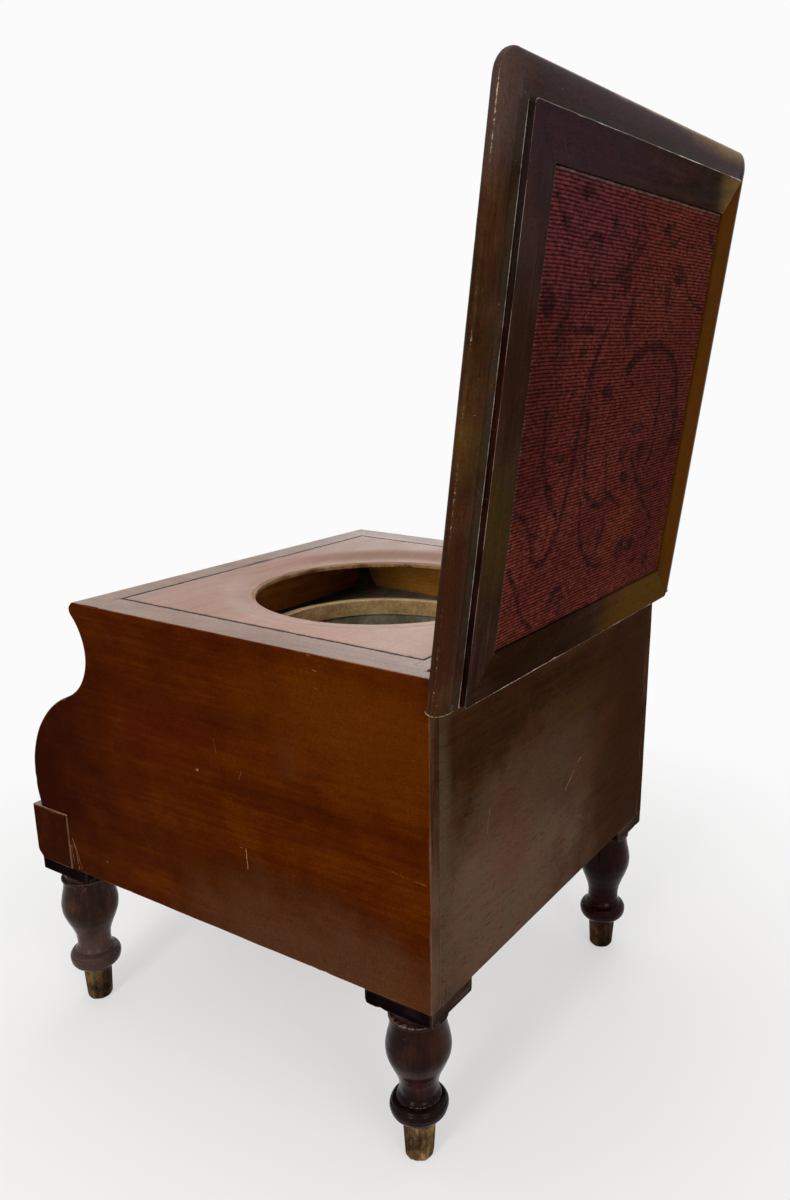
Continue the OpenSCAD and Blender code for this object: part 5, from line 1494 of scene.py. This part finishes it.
frayPiece = makeFray()
print("carpet made")


# CAD nodes that stay get their finishes
def dress(nodes, material):
    for node in nodes:
        mesh = frame["nodes"][node].data
        mesh.materials.clear()
        mesh.materials.append(material)


dress(["seat_bearer_left", "seat_bearer_right", "seat_bearer_front", "seat_bearer_back", "shelf_bearer_left",
       "shelf_bearer_right", "shelf_bearer_back", "glue_blocks", "bottom_board", "corner_block_left",
       "corner_block_right"], innerWood)
dress(["pot_shelf"], shelfWood)
dress(["hinge_leaf_left", "hinge_leaf_right", "hinge_pin_left", "hinge_pin_right", "lid_leaf_left",
       "lid_leaf_right"], brass)
dress(["block_screws", "case_hinge_screws", "lid_hinge_screws"], iron)

# Floor, light and camera
stageLook = dict(white=0.965, floor=0.90, floorFade=(0.30, 0.95), floorLift=0.5, world=0.42)


def makeFloor():
    # a pale floor that keeps the object's shadow and fades into the white of the world far away
    mesh = bpy.data.meshes.new("floor")
    mesh.from_pydata([(-9, -9, 0), (9, -9, 0), (9, 9, 0), (-9, 9, 0)], [], [(0, 1, 2, 3)])
    material, tree, shader = newMaterial("paleFloor")
    place = addNode(tree, "ShaderNodeTexCoord").outputs["Object"]
    shader.inputs["Base Color"].default_value = (stageLook["floor"],) * 3 + (1,)
    shader.inputs["Roughness"].default_value = 0.9
    shader.inputs["Specular IOR Level"].default_value = 0.0
    white = addNode(tree, "ShaderNodeEmission", {},
                    {"Color": (stageLook["white"],) * 3 + (1,), "Strength": 1.0})
    away = remap(tree, vectorCalc(tree, "LENGTH", place, out=1), *stageLook["floorFade"],
                 stageLook["floorLift"])
    seen = addNode(tree, "ShaderNodeLightPath").outputs
    direct = calc(tree, "MAXIMUM", seen["Is Camera Ray"], calc(tree, "MAXIMUM", seen["Is Glossy Ray"],
                                                               seen["Is Transmission Ray"]))
    mixed = addNode(tree, "ShaderNodeMixShader", {}, {0: calc(tree, "MULTIPLY", away, direct)})
    tree.links.new(shader.outputs[0], mixed.inputs[1])
    tree.links.new(white.outputs[0], mixed.inputs[2])
    tree.links.new(mixed.outputs[0], tree.nodes["Material Output"].inputs["Surface"])
    mesh.materials.append(material)
    floor = bpy.data.objects.new("floor", mesh)
    bpy.context.scene.collection.objects.link(floor)


def makeWorld():
    # the world is white to the camera and in reflections, and gives softer fill to everything else
    world = bpy.data.worlds.new("studio")
    bpy.context.scene.world = world
    world.use_nodes = True
    tree = world.node_tree
    seen = addNode(tree, "ShaderNodeLightPath").outputs
    direct = calc(tree, "MAXIMUM", seen["Is Camera Ray"], calc(tree, "MAXIMUM", seen["Is Glossy Ray"],
                                                               seen["Is Transmission Ray"]))
    strength = remap(tree, direct, 0, 1, stageLook["world"], 1.0, smooth=False)
    background = tree.nodes["Background"]
    background.inputs["Color"].default_value = (stageLook["white"],) * 3 + (1,)
    tree.links.new(strength, background.inputs["Strength"])


def addLamp(name, place, aim, size, power, tint=(1, 1, 1)):
    lamp = bpy.data.lights.new(name, "AREA")
    lamp.shape, lamp.size, lamp.size_y = "RECTANGLE", *size
    lamp.energy, lamp.color = power, tint
    made = bpy.data.objects.new(name, lamp)
    bpy.context.scene.collection.objects.link(made)
    made.location = place
    made.rotation_euler = (Vector(aim) - Vector(place)).to_track_quat("-Z", "Y").to_euler()


makeFloor()
makeWorld()
addLamp("sideLamp", (2.1, 0.25, 1.3), (0, 0, 0.4), (0.35, 1.6), 21, (1.0, 0.97, 0.93))
addLamp("backLamp", (1.1, 1.9, 1.2), (0, 0, 0.42), (1.0, 1.0), 17, (1.0, 0.97, 0.93))
addLamp("topLamp", (-0.2, -0.2, 3.0), (0, 0, 0.4), (1.6, 1.6), 20, (1.0, 0.98, 0.95))
addLamp("windowLamp", (-2.6, -1.0, 1.7), (0, 0, 0.45), (2.0, 1.6), 12, (1.0, 0.985, 0.97))

view = dict(place=(0.80483, backFace + 0.39735, 0.71322), azimuth=121.33, elevation=16.53, roll=0.43,
            lens=30.35, shift=(-0.0687, 0.0264))
lens = bpy.data.cameras.new("photoView")
lens.lens, lens.sensor_width, lens.sensor_fit = view["lens"], 36, "AUTO"
lens.shift_x, lens.shift_y = view["shift"]
lens.clip_start, lens.clip_end = 0.02, 50
camera = bpy.data.objects.new("photoView", lens)
bpy.context.scene.collection.objects.link(camera)
camera.rotation_mode = "XYZ"
camera.location = view["place"]
camera.rotation_euler = (math.radians(90 - view["elevation"]), 0, math.radians(view["azimuth"]))
bpy.context.view_layer.update()
turned = camera.matrix_world.to_3x3() @ Matrix.Rotation(math.radians(view["roll"]), 3, "Z")
camera.rotation_euler = turned.to_euler()
bpy.context.scene.camera = camera
bpy.context.scene.view_settings.view_transform = "Standard"

print("scene ready")
